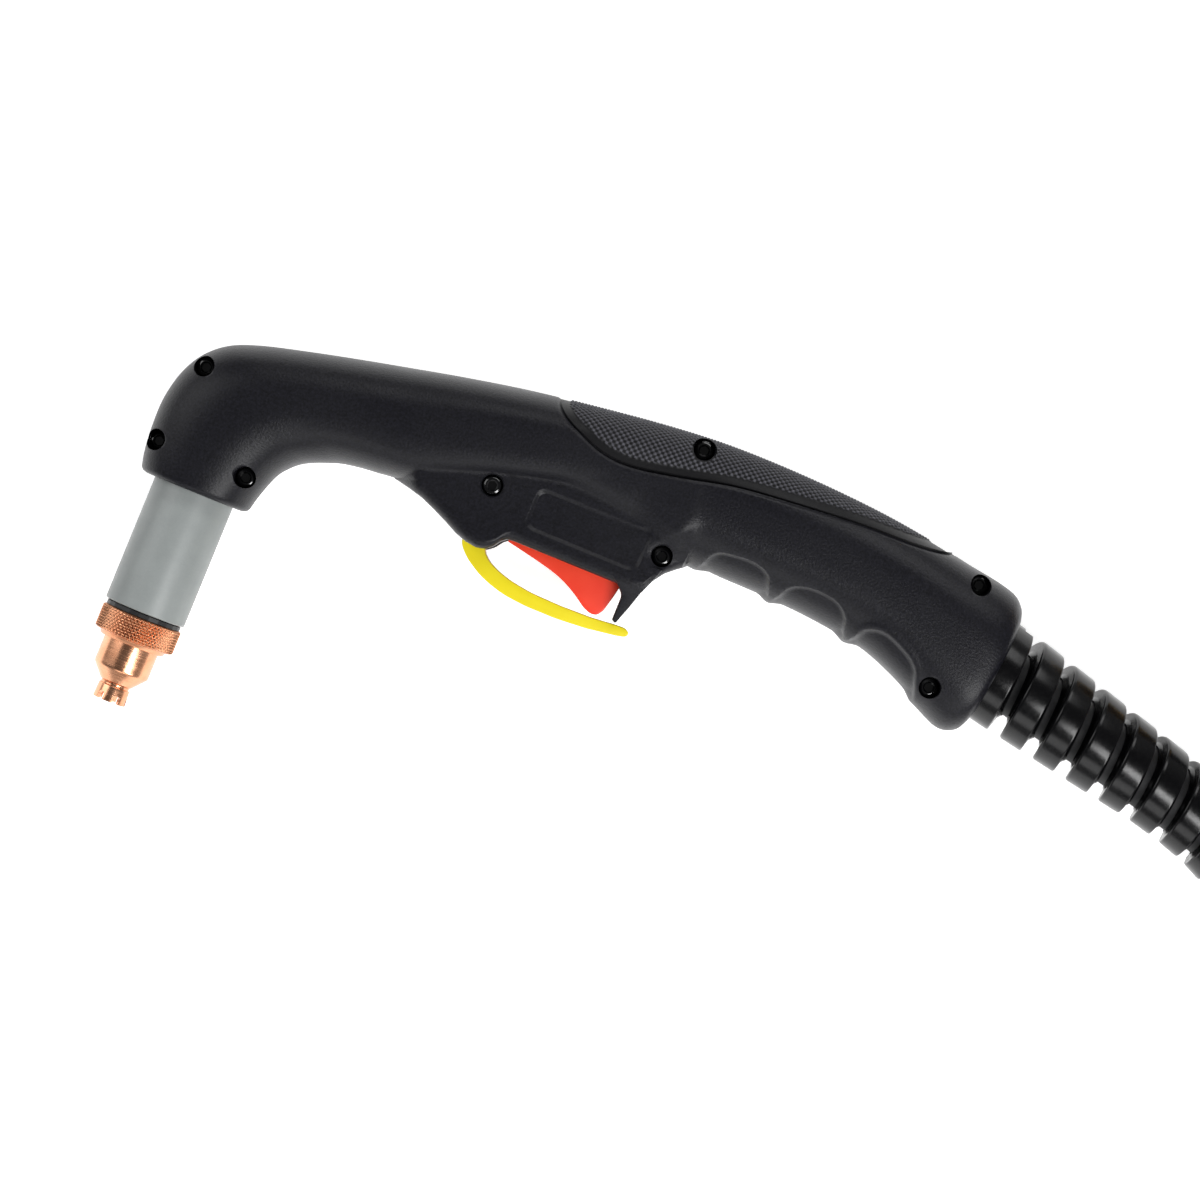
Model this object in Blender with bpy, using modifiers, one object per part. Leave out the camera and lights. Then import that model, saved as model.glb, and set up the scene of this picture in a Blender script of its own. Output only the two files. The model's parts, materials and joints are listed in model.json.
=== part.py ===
"""Hand cutting torch with a trigger, lying on its side, with its lead wound into a coil beside it.

Blender 4.5, metres, +Z up. Everything is drawn in the torch's own frame and hangs on one empty:
X runs back along the handle, Y runs up the head's axis (the head points to -Y), and Z runs across
the handle, with the parting plane of the two shells at Z = 0. The datum is the centre of the head
sleeve's lower edge. The empty stands the torch on the floor.
"""

import math

import bmesh
import bpy
from mathutils import Matrix, Vector

MM = 0.001

# --- clearances and steps -----------------------------------------------------------------------
GAP = 0.3 * MM  # between pieces that touch on the real torch
RUNNING = 0.25 * MM  # between a pin and its bore
PARTING = 0.15 * MM  # half of the gap between the two shells
ROUND_STEPS = 24
SMALL_STEPS = 10
CORNER_STEPS = 4  # in a quarter turn

# --- handle -------------------------------------------------------------------------------------
GRIP_START = 124.0  # behind the trigger housing, in the drawing's millimetres
GRIP_DRAWN = 84.4  # the drawing's grip is this long
GRIP_LENGTH = 84.4 * MM  # and the real one this


def on_grip(points):
    """Drawn points, with those of the grip spread over its length and those behind it moved along."""
    found = []
    for x, *rest in points:
        share = min(max((x - GRIP_START) / GRIP_DRAWN, 0.0), 1.0)
        found.append((x + share * (GRIP_LENGTH / MM - GRIP_DRAWN), *rest))
    return found


# Rings of the shell from the head's collar to the rear, in millimetres:
# top x, top y, bottom x, bottom y, share of the full half width, squareness (2 is an ellipse)
HANDLE_RINGS = (
    (-14.5, 33.3, 14.5, 33.3, 0.829, 2.3),
    (-15.6, 38.5, 15.8, 38.9, 0.869, 2.8),
    (-16.2, 46.0, 17.9, 44.8, 0.914, 2.9),
    (-16.0, 53.4, 20.2, 48.0, 0.943, 2.8),
    (-14.2, 60.8, 22.8, 50.3, 0.966, 2.7),
    (-10.8, 66.8, 25.6, 51.8, 0.977, 2.7),
    (-5.6, 71.3, 28.8, 53.1, 0.983, 2.6),
    (1.5, 74.3, 32.3, 54.3, 0.983, 2.5),
    (12.0, 77.2, 37.5, 55.2, 0.983, 2.5),
    (25.0, 80.4, 44.0, 56.2, 0.983, 2.5),
    (39.0, 83.6, 52.0, 58.9, 0.983, 2.5),
    (54.0, 86.9, 62.0, 63.3, 0.989, 2.5),
    (70.0, 90.0, 73.5, 67.7, 0.994, 2.5),
    (88.0, 92.7, 89.0, 71.3, 1.000, 2.5),
    (105.0, 94.9, 104.0, 70.0, 1.000, 2.5),
    (120.0, 96.2, 118.0, 65.6, 1.000, 2.6),
    (134.0, 96.5, 131.0, 63.1, 1.000, 2.7),
    (150.0, 96.1, 146.0, 62.8, 1.000, 2.7),
    (166.0, 95.0, 160.0, 61.8, 1.000, 2.7),
    (180.0, 93.2, 173.0, 59.9, 1.000, 2.7),
    (191.0, 91.3, 184.0, 56.0, 1.000, 2.7),
    (199.5, 90.0, 192.5, 52.2, 0.994, 2.7),
    (204.5, 88.6, 199.0, 49.6, 0.971, 2.7),
    (207.0, 86.4, 203.0, 50.9, 0.931, 2.7),
    (208.4, 83.6, 205.2, 54.0, 0.869, 2.7),
)
RING_POINTS = 24
CAVITY_RINGS = (3, 22)  # the shell's hollow runs between these rings, on every second one
WALL = 2.6 * MM
HANDLE_HALF = 17.5 * MM  # the widest ring's half width, which stands the torch on the floor
TORCH_FRONT = min(ring[0] for ring in HANDLE_RINGS) * MM
TORCH_REAR = max(ring[0] for ring in on_grip(HANDLE_RINGS)) * MM
TORCH_TOP = max(ring[1] for ring in HANDLE_RINGS) * MM

# Trigger housing under the handle, in millimetres
HOUSING_HALF = 14.0 * MM
HOUSING_EDGE = 2.4 * MM
HOUSING_OUTLINE = (
    (43.0, 61.0), (46.5, 55.9), (51.0, 55.0), (55.0, 54.0), (62.0, 51.0), (68.3, 48.0),
    (74.0, 47.6), (76.6, 49.1), (78.9, 52.6), (115.4, 52.6), (116.8, 55.8),
    (119.4, 59.5), (122.4, 61.8), (127.0, 64.5), (126.0, 76.0), (95.0, 79.0), (72.0, 75.0),
    (52.0, 67.0),
)
HOUSING_HOLLOW = (
    (56.0, 63.0), (58.0, 56.0), (67.0, 52.2), (69.0, 50.4), (73.0, 50.2), (75.5, 53.0),
    (78.0, 55.2), (109.8, 55.2), (113.0, 60.0), (116.0, 66.0), (112.0, 78.0), (90.0, 78.0),
    (72.0, 74.0),
)
FIN_HALF = 9.0 * MM
FIN_OUTLINE = (
    (111.5, 60.0), (111.5, 43.3), (112.6, 43.1), (114.4, 48.3), (115.4, 52.4), (116.8, 55.8),
    (117.0, 60.0),
)
SLOT_HALF = 6.4 * MM  # slot in the housing's floor for the trigger and the lever
SLOT_X = (64.5 * MM, 111.2 * MM)
SLOT_TOP = 57.0 * MM
LABEL_BOX = ((82.0, 57.0), (112.5, 67.7))  # bare recess on the left side, in millimetres
LABEL_CORNER = 2.8 * MM
LABEL_DEPTH = 0.6 * MM

# Three finger grooves: start, arch top, shoulder and end of each, in millimetres
GROOVES = tuple(on_grip(outline) for outline in (
    ((126.3, 62.0), (127.0, 66.6), (130.0, 69.4), (135.5, 69.9), (141.6, 68.4), (144.6, 65.8), (145.4, 61.0)),
    ((148.0, 61.0), (148.9, 67.0), (152.2, 69.8), (157.4, 69.8), (163.2, 67.6), (166.2, 64.6), (167.2, 59.5)),
    ((169.8, 59.0), (170.8, 64.2), (173.9, 66.0), (178.6, 65.3), (184.0, 62.4), (187.2, 59.2), (189.0, 53.0)),
))
GROOVE_DEPTH = 1.2 * MM

# Rubber pad over the top of the grip: its lower boundary, in millimetres
PAD_OUTLINE = on_grip((
    (77.6, 94.0), (79.4, 88.6), (84.0, 85.0), (92.7, 81.4), (101.2, 80.8), (113.0, 83.0),
    (127.0, 86.2), (141.0, 87.8), (160.0, 89.5), (178.0, 90.2), (188.0, 94.0), (188.0, 104.0),
    (77.6, 104.0),
))
PAD_THICKNESS = 1.2 * MM

# --- screws -------------------------------------------------------------------------------------
SCREWS = on_grip((  # place of each screw on the shell, in millimetres
    (-8.5, 63.9), (-13.1, 42.0), (11.7, 41.7), (70.6, 63.6),
    (117.1, 63.3), (116.9, 92.3), (194.7, 87.2), (192.4, 58.2),
))
SCREW_HEAD_R = 2.5 * MM
SCREW_HEAD_H = 2.4 * MM
SCREW_SHANK_R = 1.3 * MM
SCREW_SINK = 0.8 * MM  # head below the lowest point of the recess's rim
SCREW_COVER = 3.5 * MM  # plastic left beyond the screw's tip
SOCKET_R = 1.4 * MM
SOCKET_DEPTH = 1.3 * MM
BOSS_R = 3.6 * MM

# --- head, heights along Y ----------------------------------------------------------------------
SLEEVE_R = 10.7 * MM
SLEEVE_BORE_R = 8.6 * MM
SLEEVE_TOP = 38.5 * MM
NECK_R = 10.0 * MM
NECK_LOW = -1.3 * MM
NECK_TUBE_TOP = 14.0 * MM
NECK_WALL = 0.8 * MM
ANODE_THREAD_R = 8.4 * MM
ANODE_BORE_R = 5.6 * MM
ANODE_LOW = -6.0 * MM
ANODE_TOP = 12.0 * MM
CAP_R = 10.6 * MM
CAP_LOW = -9.0 * MM
CAP_KNURL_LOW = -7.8 * MM
CAP_CHAMFER = 0.9 * MM
NOZZLE_R = 7.3 * MM
NOZZLE_FLANGE_H = 1.1 * MM
NOZZLE_REACH = 24.6 * MM  # from the sleeve's lower edge to the crown's foot
CROWN_LOW = -NOZZLE_REACH
CROWN_TOP = CROWN_LOW + 4.0 * MM
NOZZLE_CONE_LOW = CROWN_TOP + 1.1 * MM
NOZZLE_CONE_TOP = NOZZLE_CONE_LOW + 3.4 * MM
NOZZLE_NECK_R = 3.8 * MM
CROWN_R = 4.3 * MM
CROWN_BORE_R = 2.9 * MM
CROWN_SLOTS = 3  # each goes right across, so it cuts two arches
CROWN_SLOT_R = 1.1 * MM
ORIFICE_R = 0.7 * MM
ELECTRODE_R = 3.4 * MM
ELECTRODE_LOW = NOZZLE_CONE_TOP + 1.7 * MM
ELECTRODE_TOP = 2.0 * MM
SWIRL_LOW = -5.8 * MM
SWIRL_TOP = 1.5 * MM
CATHODE_R = 4.2 * MM
CATHODE_TOP = 60.0 * MM
MOULDING_TOP = 49.0 * MM
O_RING_HEIGHT = 8.0 * MM
O_RING_STEPS = 20
THREAD_PITCH = 1.25 * MM  # the cap and the nozzle come down this far in each turn

# --- trigger and safety lever, outlines in millimetres -------------------------------------------
TRIGGER_PIVOT = (82.0, 57.5)
TRIGGER_HALF = 6.0 * MM
TRIGGER_OUTLINE = (
    (79.4, 52.0), (84.0, 51.1), (88.0, 50.3), (92.0, 49.4), (95.3, 48.5), (98.0, 47.2),
    (101.0, 45.6), (104.0, 44.0), (106.2, 43.1), (107.6, 43.2), (108.6, 44.6), (109.4, 48.0),
    (110.3, 52.0), (110.3, 56.0), (88.0, 56.0), (85.8, 54.2), (79.4, 54.0),
)
TRIGGER_WEB_HALF = 3.2 * MM
TRIGGER_WEB_OUTLINE = (
    (79.6, 53.0), (109.6, 53.0), (109.6, 59.0), (95.0, 59.6), (92.2, 61.2), (88.0, 61.2),
    (84.2, 60.4), (82.0, 60.7), (79.4, 59.4), (78.8, 57.5),
)
LEVER_PIVOT = (71.6, 52.3)
LEVER_HALF = 6.0 * MM
LEVER_OUTLINE = (
    (68.3, 48.9), (68.5, 47.4), (69.6, 45.8), (71.7, 43.9), (76.0, 41.3), (80.0, 39.9),
    (84.0, 38.9), (90.0, 38.5), (98.0, 38.5), (106.0, 39.1), (114.0, 40.3), (116.0, 40.8),
    (116.6, 41.9), (115.6, 42.8), (114.0, 42.8), (106.0, 42.1), (98.0, 41.9), (90.0, 42.1),
    (84.0, 42.9), (79.6, 44.2), (76.6, 45.7), (74.9, 47.4), (74.4, 48.9),
)
LEVER_HUB_HALF = 3.2 * MM
LEVER_HUB_OUTLINE = (
    (68.4, 52.3), (68.6, 47.0), (71.0, 45.0), (74.6, 46.8), (74.8, 52.3), (74.0, 54.4),
    (71.6, 55.5), (69.2, 54.4),
)
PIN_R = 1.25 * MM
PIN_HALF = 10.5 * MM
PIN_BOSS_R = 3.0 * MM
PIN_BOSS_IN = 7.0 * MM
SPRING_R = 2.4 * MM
SPRING_WIRE_R = 0.35 * MM
SPRING_PITCH = 0.85 * MM
TRIGGER_SPRING_LEGS = (((93.0, 56.7), (85.6, 56.7)), ((79.6, 60.0), (79.8, 62.5)))
LEVER_SPRING_LEGS = (((69.2, 49.8), (69.2, 51.0)), ((73.4, 54.8), (75.4, 54.9)))
SPRING_TURNS = 2
SPRING_START = 3.6 * MM  # across the handle, just outside the web

# --- switch -------------------------------------------------------------------------------------
SWITCH_LOW = (86.0, 64.6)
SWITCH_HIGH = (106.0, 73.6)
SWITCH_HALF = 3.2 * MM
PLUNGER_X = 90.0 * MM
PLUNGER_R = 1.0 * MM
PLUNGER_LENGTH = 5.4 * MM
PLUNGER_TRAVEL = 1.5 * MM

# --- lead ---------------------------------------------------------------------------------------
LEAD_R = 8.0 * MM
LEAD_AXIS_POINT = on_grip(((211.1, 67.8),))[0]  # on the lead's axis; the bend guard counts from here
LEAD_ANGLE = math.radians(-12.9)
LEAD_START = -22.0 * MM  # inside the handle, along the lead's axis
LEAD_STRAIGHT = -5.0 * MM  # as far as this it runs along its axis
LEAD_LIFT = 1.6 * MM  # the ties under the coil lift it off the floor
LEAD_ROUTE = on_grip((  # hand-chosen points of the free stretch from there on, in millimetres
    (222.8, 65.1, -0.1), (240.3, 61.1, -0.6), (259.0, 56.8, -1.8), (276.0, 51.6, -3.3),
    (290.7, 43.7, -4.9), (303.0, 33.9, -6.2), (317.2, 18.8, -7.9),
))
ROUTE_STEP = 8.0 * MM  # between the points that a tube follows
WIRE_ROUTES = {  # node: radius and points, in millimetres
    "gas_power_tube": (3.5, (
        (189.35, 72.8, 0.0), (175.0, 76.0, 0.0), (150.0, 79.6, 0.0), (120.0, 81.6, 0.0),
        (90.0, 80.4, 0.0), (60.0, 74.2, 0.0), (35.0, 65.4, 0.0), (18.0, 58.0, 0.0),
        (10.0, 56.2, 0.0), (4.5, 56.0, 0.0))),
    "pilot_wire": (1.1, (
        (189.9, 76.2, 4.6), (175.0, 80.4, 5.6), (150.0, 84.0, 6.0), (120.0, 85.6, 6.0),
        (90.0, 84.4, 6.0), (60.0, 78.4, 6.0), (35.0, 70.6, 6.4), (16.0, 64.0, 6.6),
        (7.2, 58.6, 5.4), (5.4, 53.6, 4.0), (5.2, 49.7, 3.6))),
    "switch_lead_1": (0.9, (
        (106.3, 70.6, 1.5), (116.0, 71.4, 3.0), (135.0, 72.6, 4.0), (160.0, 71.6, 4.0),
        (178.0, 69.4, 3.6), (188.0, 68.5, 3.2))),
    "switch_lead_2": (0.9, (
        (106.3, 70.6, -1.5), (116.0, 71.4, -3.0), (135.0, 72.6, -4.0), (160.0, 71.6, -4.0),
        (178.0, 69.4, -3.6), (188.0, 68.5, -3.2))),
}
CLAMP_R = 9.6 * MM
CLAMP_LENGTH = 8.0 * MM

# Bend guard: a collar held in the handle's rear wall, and one band wound round the lead
GUARD_BORE_R = LEAD_R + 0.4 * MM
GUARD_COLLAR_R = 13.5 * MM
GUARD_COLLAR_OUT = -3.2 * MM
GUARD_FLANGE_R = 14.9 * MM
GUARD_FLANGE = (-13.0 * MM, -9.4 * MM)
GUARD_PITCH = 10.0 * MM
GUARD_BAND = 5.2 * MM  # width of the band along the lead
GUARD_R_START = 13.6 * MM
GUARD_R_END = 11.3 * MM
GUARD_TAPER_END = 50.0 * MM
GUARD_TOP_AT = 5.0 * MM  # the band's first crossing of the top, along the lead
GUARD_HELIX = (-4.4 * MM, 94.0 * MM)
GUARD_STEPS = 14  # in each turn

# Coil: the lead spirals in on the floor, climbs and spirals out on top
COIL_ENTRY = on_grip(((326.4, 5.7),))[0]  # where the coil's circle begins, in millimetres
COIL_ENTRY_ANGLE = math.radians(215.0)
COIL_EXIT_ANGLE = math.radians(90.0)
COIL_WHOLE_TURNS = 5
COIL_INNER_R = 66.0 * MM
COIL_STEP = 2 * LEAD_R + 0.7 * MM  # from turn to turn and from layer to layer
COIL_TURN_POINTS = 24
TIE_ANGLES = (math.radians(0.0), math.radians(150.0))
TIE_WIDTH = 8.0 * MM
TIE_THICKNESS = 1.2 * MM

# Connector on the lead's end
TAIL_ROUTE = (  # from the coil to the connector: along and across the coil's way out, and height
    (0.0, 0.0, 0.0), (12.0, 0.1, -0.4), (24.0, 1.2, -2.4), (36.0, 3.6, -5.2), (46.0, 6.4, -6.9),
    (57.0, 9.8, -7.25), (70.0, 13.9, -7.25), (83.0, 18.0, -7.25),
)
BOOT_LENGTH = 30.0 * MM
BOOT_R = (11.0 * MM, 15.0 * MM)
BODY_LENGTH = 34.0 * MM
BODY_R = 18.0 * MM
NUT_LENGTH = 16.0 * MM
NUT_R = 19.0 * MM
NUT_LOBES = 8
INSERT_R = 12.5 * MM
INSERT_PROUD = 3.0 * MM
PLUG_R = 4.5 * MM
PLUG_PROUD = 14.0 * MM
CONTROL_PIN_R = 1.2 * MM
CONTROL_PIN_PROUD = 8.0 * MM
CONTROL_PIN_AT = 8.6 * MM
CONTROL_PINS = 4

FINISHES = {  # colour, roughness, metallic
    "handle": ((0.012, 0.012, 0.015), 0.50, 0.0),
    "pad": ((0.030, 0.030, 0.034), 0.80, 0.0),
    "screw": ((0.005, 0.005, 0.006), 0.25, 0.0),
    "sleeve": ((0.330, 0.345, 0.350), 0.55, 0.0),
    "moulding": ((0.010, 0.010, 0.010), 0.60, 0.0),
    "copper": ((0.700, 0.320, 0.160), 0.30, 1.0),
    "brass": ((0.650, 0.450, 0.150), 0.35, 1.0),
    "swirl": ((0.400, 0.230, 0.110), 0.60, 0.0),
    "trigger": ((0.880, 0.060, 0.025), 0.40, 0.0),
    "lever": ((0.850, 0.720, 0.010), 0.40, 0.0),
    "steel": ((0.450, 0.450, 0.450), 0.35, 1.0),
    "switch": ((0.020, 0.020, 0.022), 0.45, 0.0),
    "guard": ((0.006, 0.006, 0.007), 0.25, 0.0),
    "lead": ((0.008, 0.008, 0.009), 0.45, 0.0),
    "tube": ((0.300, 0.050, 0.030), 0.55, 0.0),
    "wire": ((0.650, 0.650, 0.600), 0.50, 0.0),
    "tie": ((0.020, 0.020, 0.020), 0.85, 0.0),
}


def clear_scene():
    for obj in list(bpy.data.objects):
        bpy.data.objects.remove(obj)


def make_collections():
    parts = bpy.data.collections.new("hand_torch")
    cutters = bpy.data.collections.new("cutters")
    for collection in (parts, cutters):
        bpy.context.scene.collection.children.link(collection)
    return parts, cutters


clear_scene()
PARTS, CUTTERS = make_collections()
TORCH = bpy.data.objects.new("torch", None)
PARTS.objects.link(TORCH)
TORCH.location = (-(TORCH_FRONT + TORCH_REAR) / 2, -(CROWN_LOW + TORCH_TOP) / 2, HANDLE_HALF)


# --- making objects -----------------------------------------------------------------------------
def finish_of(name):
    material = bpy.data.materials.get(name)
    if material:
        return material
    material = bpy.data.materials.new(name)
    material.use_nodes = True
    colour, roughness, metallic = FINISHES[name]
    shader = material.node_tree.nodes["Principled BSDF"]
    shader.inputs["Base Color"].default_value = (*colour, 1.0)
    shader.inputs["Roughness"].default_value = roughness
    shader.inputs["Metallic"].default_value = metallic
    return material


def add_part(name, mesh, finish, pivot=(0.0, 0.0, 0.0)):
    """A named piece. Its mesh is drawn in the torch's frame and its origin goes to the pivot."""
    pivot = Vector(pivot)
    mesh.transform(Matrix.Translation(-pivot))
    mesh.materials.clear()
    mesh.materials.append(finish_of(finish))
    mesh.shade_smooth()
    mesh.set_sharp_from_angle(angle=math.radians(32))
    piece = bpy.data.objects.new(name, mesh)
    PARTS.objects.link(piece)
    piece.parent = TORCH
    piece.location = pivot
    return piece


def add_cutter(name, mesh):
    cutter = bpy.data.objects.new(name, mesh)
    CUTTERS.objects.link(cutter)
    cutter.parent = TORCH
    cutter.hide_render = True
    cutter.display_type = "WIRE"
    return cutter


def boolean(target, other, operation):
    modifier = target.modifiers.new(f"{operation.lower()} {other.name}", "BOOLEAN")
    modifier.operation = operation
    modifier.object = other
    modifier.solver = "EXACT"
    return target


def cut(target, *others):
    for other in others:
        boolean(target, other, "DIFFERENCE")
    return target


def join(target, *others):
    for other in others:
        boolean(target, other, "UNION")
    return target


def evaluated_mesh(source):
    bpy.context.view_layer.update()
    graph = bpy.context.evaluated_depsgraph_get()
    return bpy.data.meshes.new_from_object(source.evaluated_get(graph), depsgraph=graph)


def mesh_from(bm, name):
    bmesh.ops.recalc_face_normals(bm, faces=bm.faces)
    mesh = bpy.data.meshes.new(name)
    bm.to_mesh(mesh)
    bm.free()
    return mesh


def box_mesh(low, high):
    low, high = Vector(low), Vector(high)
    bm = bmesh.new()
    bmesh.ops.create_cube(bm, size=1.0)
    bmesh.ops.scale(bm, vec=high - low, verts=bm.verts)
    bmesh.ops.translate(bm, vec=(low + high) / 2, verts=bm.verts)
    return mesh_from(bm, "box")


def rod_mesh(start, end, radius, steps=SMALL_STEPS, end_radius=None):
    """A cylinder or cone between two points."""
    start, end = Vector(start), Vector(end)
    along = end - start
    turn = along.to_track_quat("Z", "Y").to_matrix().to_4x4()
    bm = bmesh.new()
    bmesh.ops.create_cone(
        bm, cap_ends=True, segments=steps, radius1=radius,
        radius2=radius if end_radius is None else end_radius, depth=along.length,
        matrix=Matrix.Translation((start + end) / 2) @ turn,
    )
    return mesh_from(bm, "rod")


def turned_mesh(outside, inside=(), steps=ROUND_STEPS, frame=None):
    """A turned piece. Both sides run from the top down as (radius, height) pairs; a piece without an
    inside is solid. The frame carries local +Z to where the height runs."""
    if inside:
        profile = list(outside) + list(reversed(inside))
    else:
        profile = [(0.0, outside[0][1])] + list(outside) + [(0.0, outside[-1][1])]
    bm = bmesh.new()
    points = [bm.verts.new((radius, 0.0, height)) for radius, height in profile]
    for first, second in zip(points, points[1:]):
        bm.edges.new((first, second))
    if inside:
        bm.edges.new((points[-1], points[0]))
    mesh = bpy.data.meshes.new("profile")
    bm.to_mesh(mesh)
    bm.free()
    guide = bpy.data.objects.new("profile", mesh)
    CUTTERS.objects.link(guide)
    screw = guide.modifiers.new("turn", "SCREW")
    screw.steps = steps
    screw.render_steps = steps
    screw.use_merge_vertices = True
    screw.merge_threshold = 1e-6
    turned = evaluated_mesh(guide)
    bpy.data.objects.remove(guide)
    turned.transform(frame if frame is not None else HEAD_FRAME)
    return turned


HEAD_FRAME = Matrix.Rotation(math.radians(-90), 4, "X")  # local +Z becomes the torch's +Y


def plate_mesh(outline, half, middle=0.0, edge=0.0, segments=1):
    """A flat outline in millimetres, thickened across the handle, with its rim rounded if edge is given."""
    curve = bpy.data.curves.new("outline", "CURVE")
    curve.dimensions = "2D"
    curve.fill_mode = "BOTH"
    curve.extrude = half
    spline = curve.splines.new("POLY")
    spline.points.add(len(outline) - 1)
    for point, (x, y) in zip(spline.points, outline):
        point.co = (x * MM, y * MM, 0.0, 1.0)
    spline.use_cyclic_u = True
    guide = bpy.data.objects.new("outline", curve)
    CUTTERS.objects.link(guide)
    mesh = evaluated_mesh(guide)
    bpy.data.objects.remove(guide)
    bm = bmesh.new()
    bm.from_mesh(mesh)
    bmesh.ops.remove_doubles(bm, verts=bm.verts, dist=1e-6)
    flat = [edge_ for edge_ in bm.edges if edge_.is_manifold and edge_.calc_face_angle(0.0) < 1e-4]
    bmesh.ops.dissolve_edges(bm, edges=flat)
    if edge:
        rim = [e for e in bm.edges if all(abs(abs(v.co.z) - half) < 1e-7 for v in e.verts)]
        bmesh.ops.bevel(
            bm, geom=rim, offset=edge, offset_type="OFFSET", segments=segments, profile=0.5,
            affect="EDGES", clamp_overlap=True, material=-1,
        )
    bmesh.ops.translate(bm, vec=(0.0, 0.0, middle), verts=bm.verts)
    return mesh_from(bm, "plate")


def smooth_route(points, step):
    """Points about a step apart on a smooth curve through the given ones, which are in millimetres."""
    points = [Vector(p) * MM for p in points]
    points = [2 * points[0] - points[1]] + points + [2 * points[-1] - points[-2]]
    dense = []
    for a, b, c, d in zip(points, points[1:], points[2:], points[3:]):
        for index in range(24):
            t = index / 24
            dense.append(0.5 * (2 * b + (c - a) * t + (2 * a - 5 * b + 4 * c - d) * t ** 2
                                + (3 * b - a - 3 * c + d) * t ** 3))
    dense.append(points[-2])
    return spaced(dense, 1 + round(lengths_along(dense)[-1] / step))


def lengths_along(points):
    total = [0.0]
    for first, second in zip(points, points[1:]):
        total.append(total[-1] + (second - first).length)
    return total


def spaced(points, count):
    """The same line with evenly spaced points."""
    total = lengths_along(points)
    found = []
    segment = 0
    for index in range(count):
        wanted = total[-1] * index / (count - 1)
        while segment < len(points) - 2 and total[segment + 1] < wanted:
            segment += 1
        share = (wanted - total[segment]) / (total[segment + 1] - total[segment])
        found.append(points[segment].lerp(points[segment + 1], share))
    return found


def tube_mesh(points, radius, resolution=2, cyclic=False):
    """A round tube along a line, with its caps welded."""
    curve = bpy.data.curves.new("tube", "CURVE")
    curve.dimensions = "3D"
    curve.bevel_depth = radius
    curve.bevel_resolution = resolution
    curve.use_fill_caps = not cyclic
    spline = curve.splines.new("POLY")
    spline.points.add(len(points) - 1)
    for point, place in zip(spline.points, points):
        point.co = (*place, 1.0)
    spline.use_cyclic_u = cyclic
    guide = bpy.data.objects.new("tube", curve)
    CUTTERS.objects.link(guide)
    mesh = evaluated_mesh(guide)
    bpy.data.objects.remove(guide)
    bm = bmesh.new()
    bm.from_mesh(mesh)
    bmesh.ops.remove_doubles(bm, verts=bm.verts, dist=1e-6)
    return mesh_from(bm, "tube")


def loft_mesh(rings):
    """A closed skin over rings of equally many points."""
    bm = bmesh.new()
    rows = [[bm.verts.new(point) for point in ring] for ring in rings]
    for first, second in zip(rows, rows[1:]):
        for index in range(len(first)):
            after = (index + 1) % len(first)
            bm.faces.new((first[index], first[after], second[after], second[index]))
    bm.faces.new(rows[0])
    bm.faces.new(rows[-1])
    return mesh_from(bm, "loft")


# --- handle -------------------------------------------------------------------------------------
def handle_ring(ring, inset=0.0):
    """One ring of the handle: a squared ellipse between its top and bottom points."""
    top_x, top_y, bottom_x, bottom_y, half, squareness = ring
    top, bottom = (Vector((x, y, 0.0)) * MM for x, y in on_grip(((top_x, top_y), (bottom_x, bottom_y))))
    middle = (top + bottom) / 2
    up = (top - bottom).normalized()
    flat = math.cos(math.pi / RING_POINTS) ** (2 / squareness)  # the ring's flats lie on its half width
    tall = ((top - bottom).length / 2 - inset) / flat
    wide = (half * HANDLE_HALF - inset) / flat
    points = []
    for index in range(RING_POINTS):
        angle = 2 * math.pi * (index + 0.5) / RING_POINTS
        c, s = math.cos(angle), math.sin(angle)
        along = math.copysign(abs(c) ** (2 / squareness), c) * tall
        across = math.copysign(abs(s) ** (2 / squareness), s) * wide
        points.append(middle + up * along + Vector((0.0, 0.0, across)))
    return points


def grip_form(name, inset):
    return add_cutter(name, loft_mesh([handle_ring(ring, inset) for ring in HANDLE_RINGS]))


def handle_form():
    """The whole outside of the handle: the lofted grip, the flat trigger housing and its fin."""
    form = grip_form("grip_form", 0.0)
    housing = add_cutter("housing_form", plate_mesh(HOUSING_OUTLINE, HOUSING_HALF, edge=HOUSING_EDGE, segments=2))
    fin = add_cutter("fin_form", plate_mesh(FIN_OUTLINE, FIN_HALF))
    join(form, housing, fin)
    grooves = []
    floor = grip_form("groove_floor", GROOVE_DEPTH)
    for index, outline in enumerate(GROOVES, 1):
        groove = add_cutter(f"groove_{index}", plate_mesh(outline, 2 * HANDLE_HALF))
        grooves.append(cut(groove, floor))
    return cut(form, *grooves)


def surface_height(form, x, y):
    """How far the handle's surface stands from the parting plane at a place."""
    bpy.context.view_layer.update()
    graph = bpy.context.evaluated_depsgraph_get()
    hit, place, _, _ = form.evaluated_get(graph).ray_cast((x, y, 1.0), (0.0, 0.0, -1.0))
    return place.z if hit else 0.0


def screw_seat(form, place):
    """Height of the screw head's top: a little under the lowest point round its rim."""
    x, y = place[0] * MM, place[1] * MM
    rim = []
    for index in range(12):
        angle = math.tau * index / 12
        rim.append(surface_height(form, x + SCREW_HEAD_R * math.cos(angle), y + SCREW_HEAD_R * math.sin(angle)))
    return min(rim) - SCREW_SINK, surface_height(form, x, y)


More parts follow.
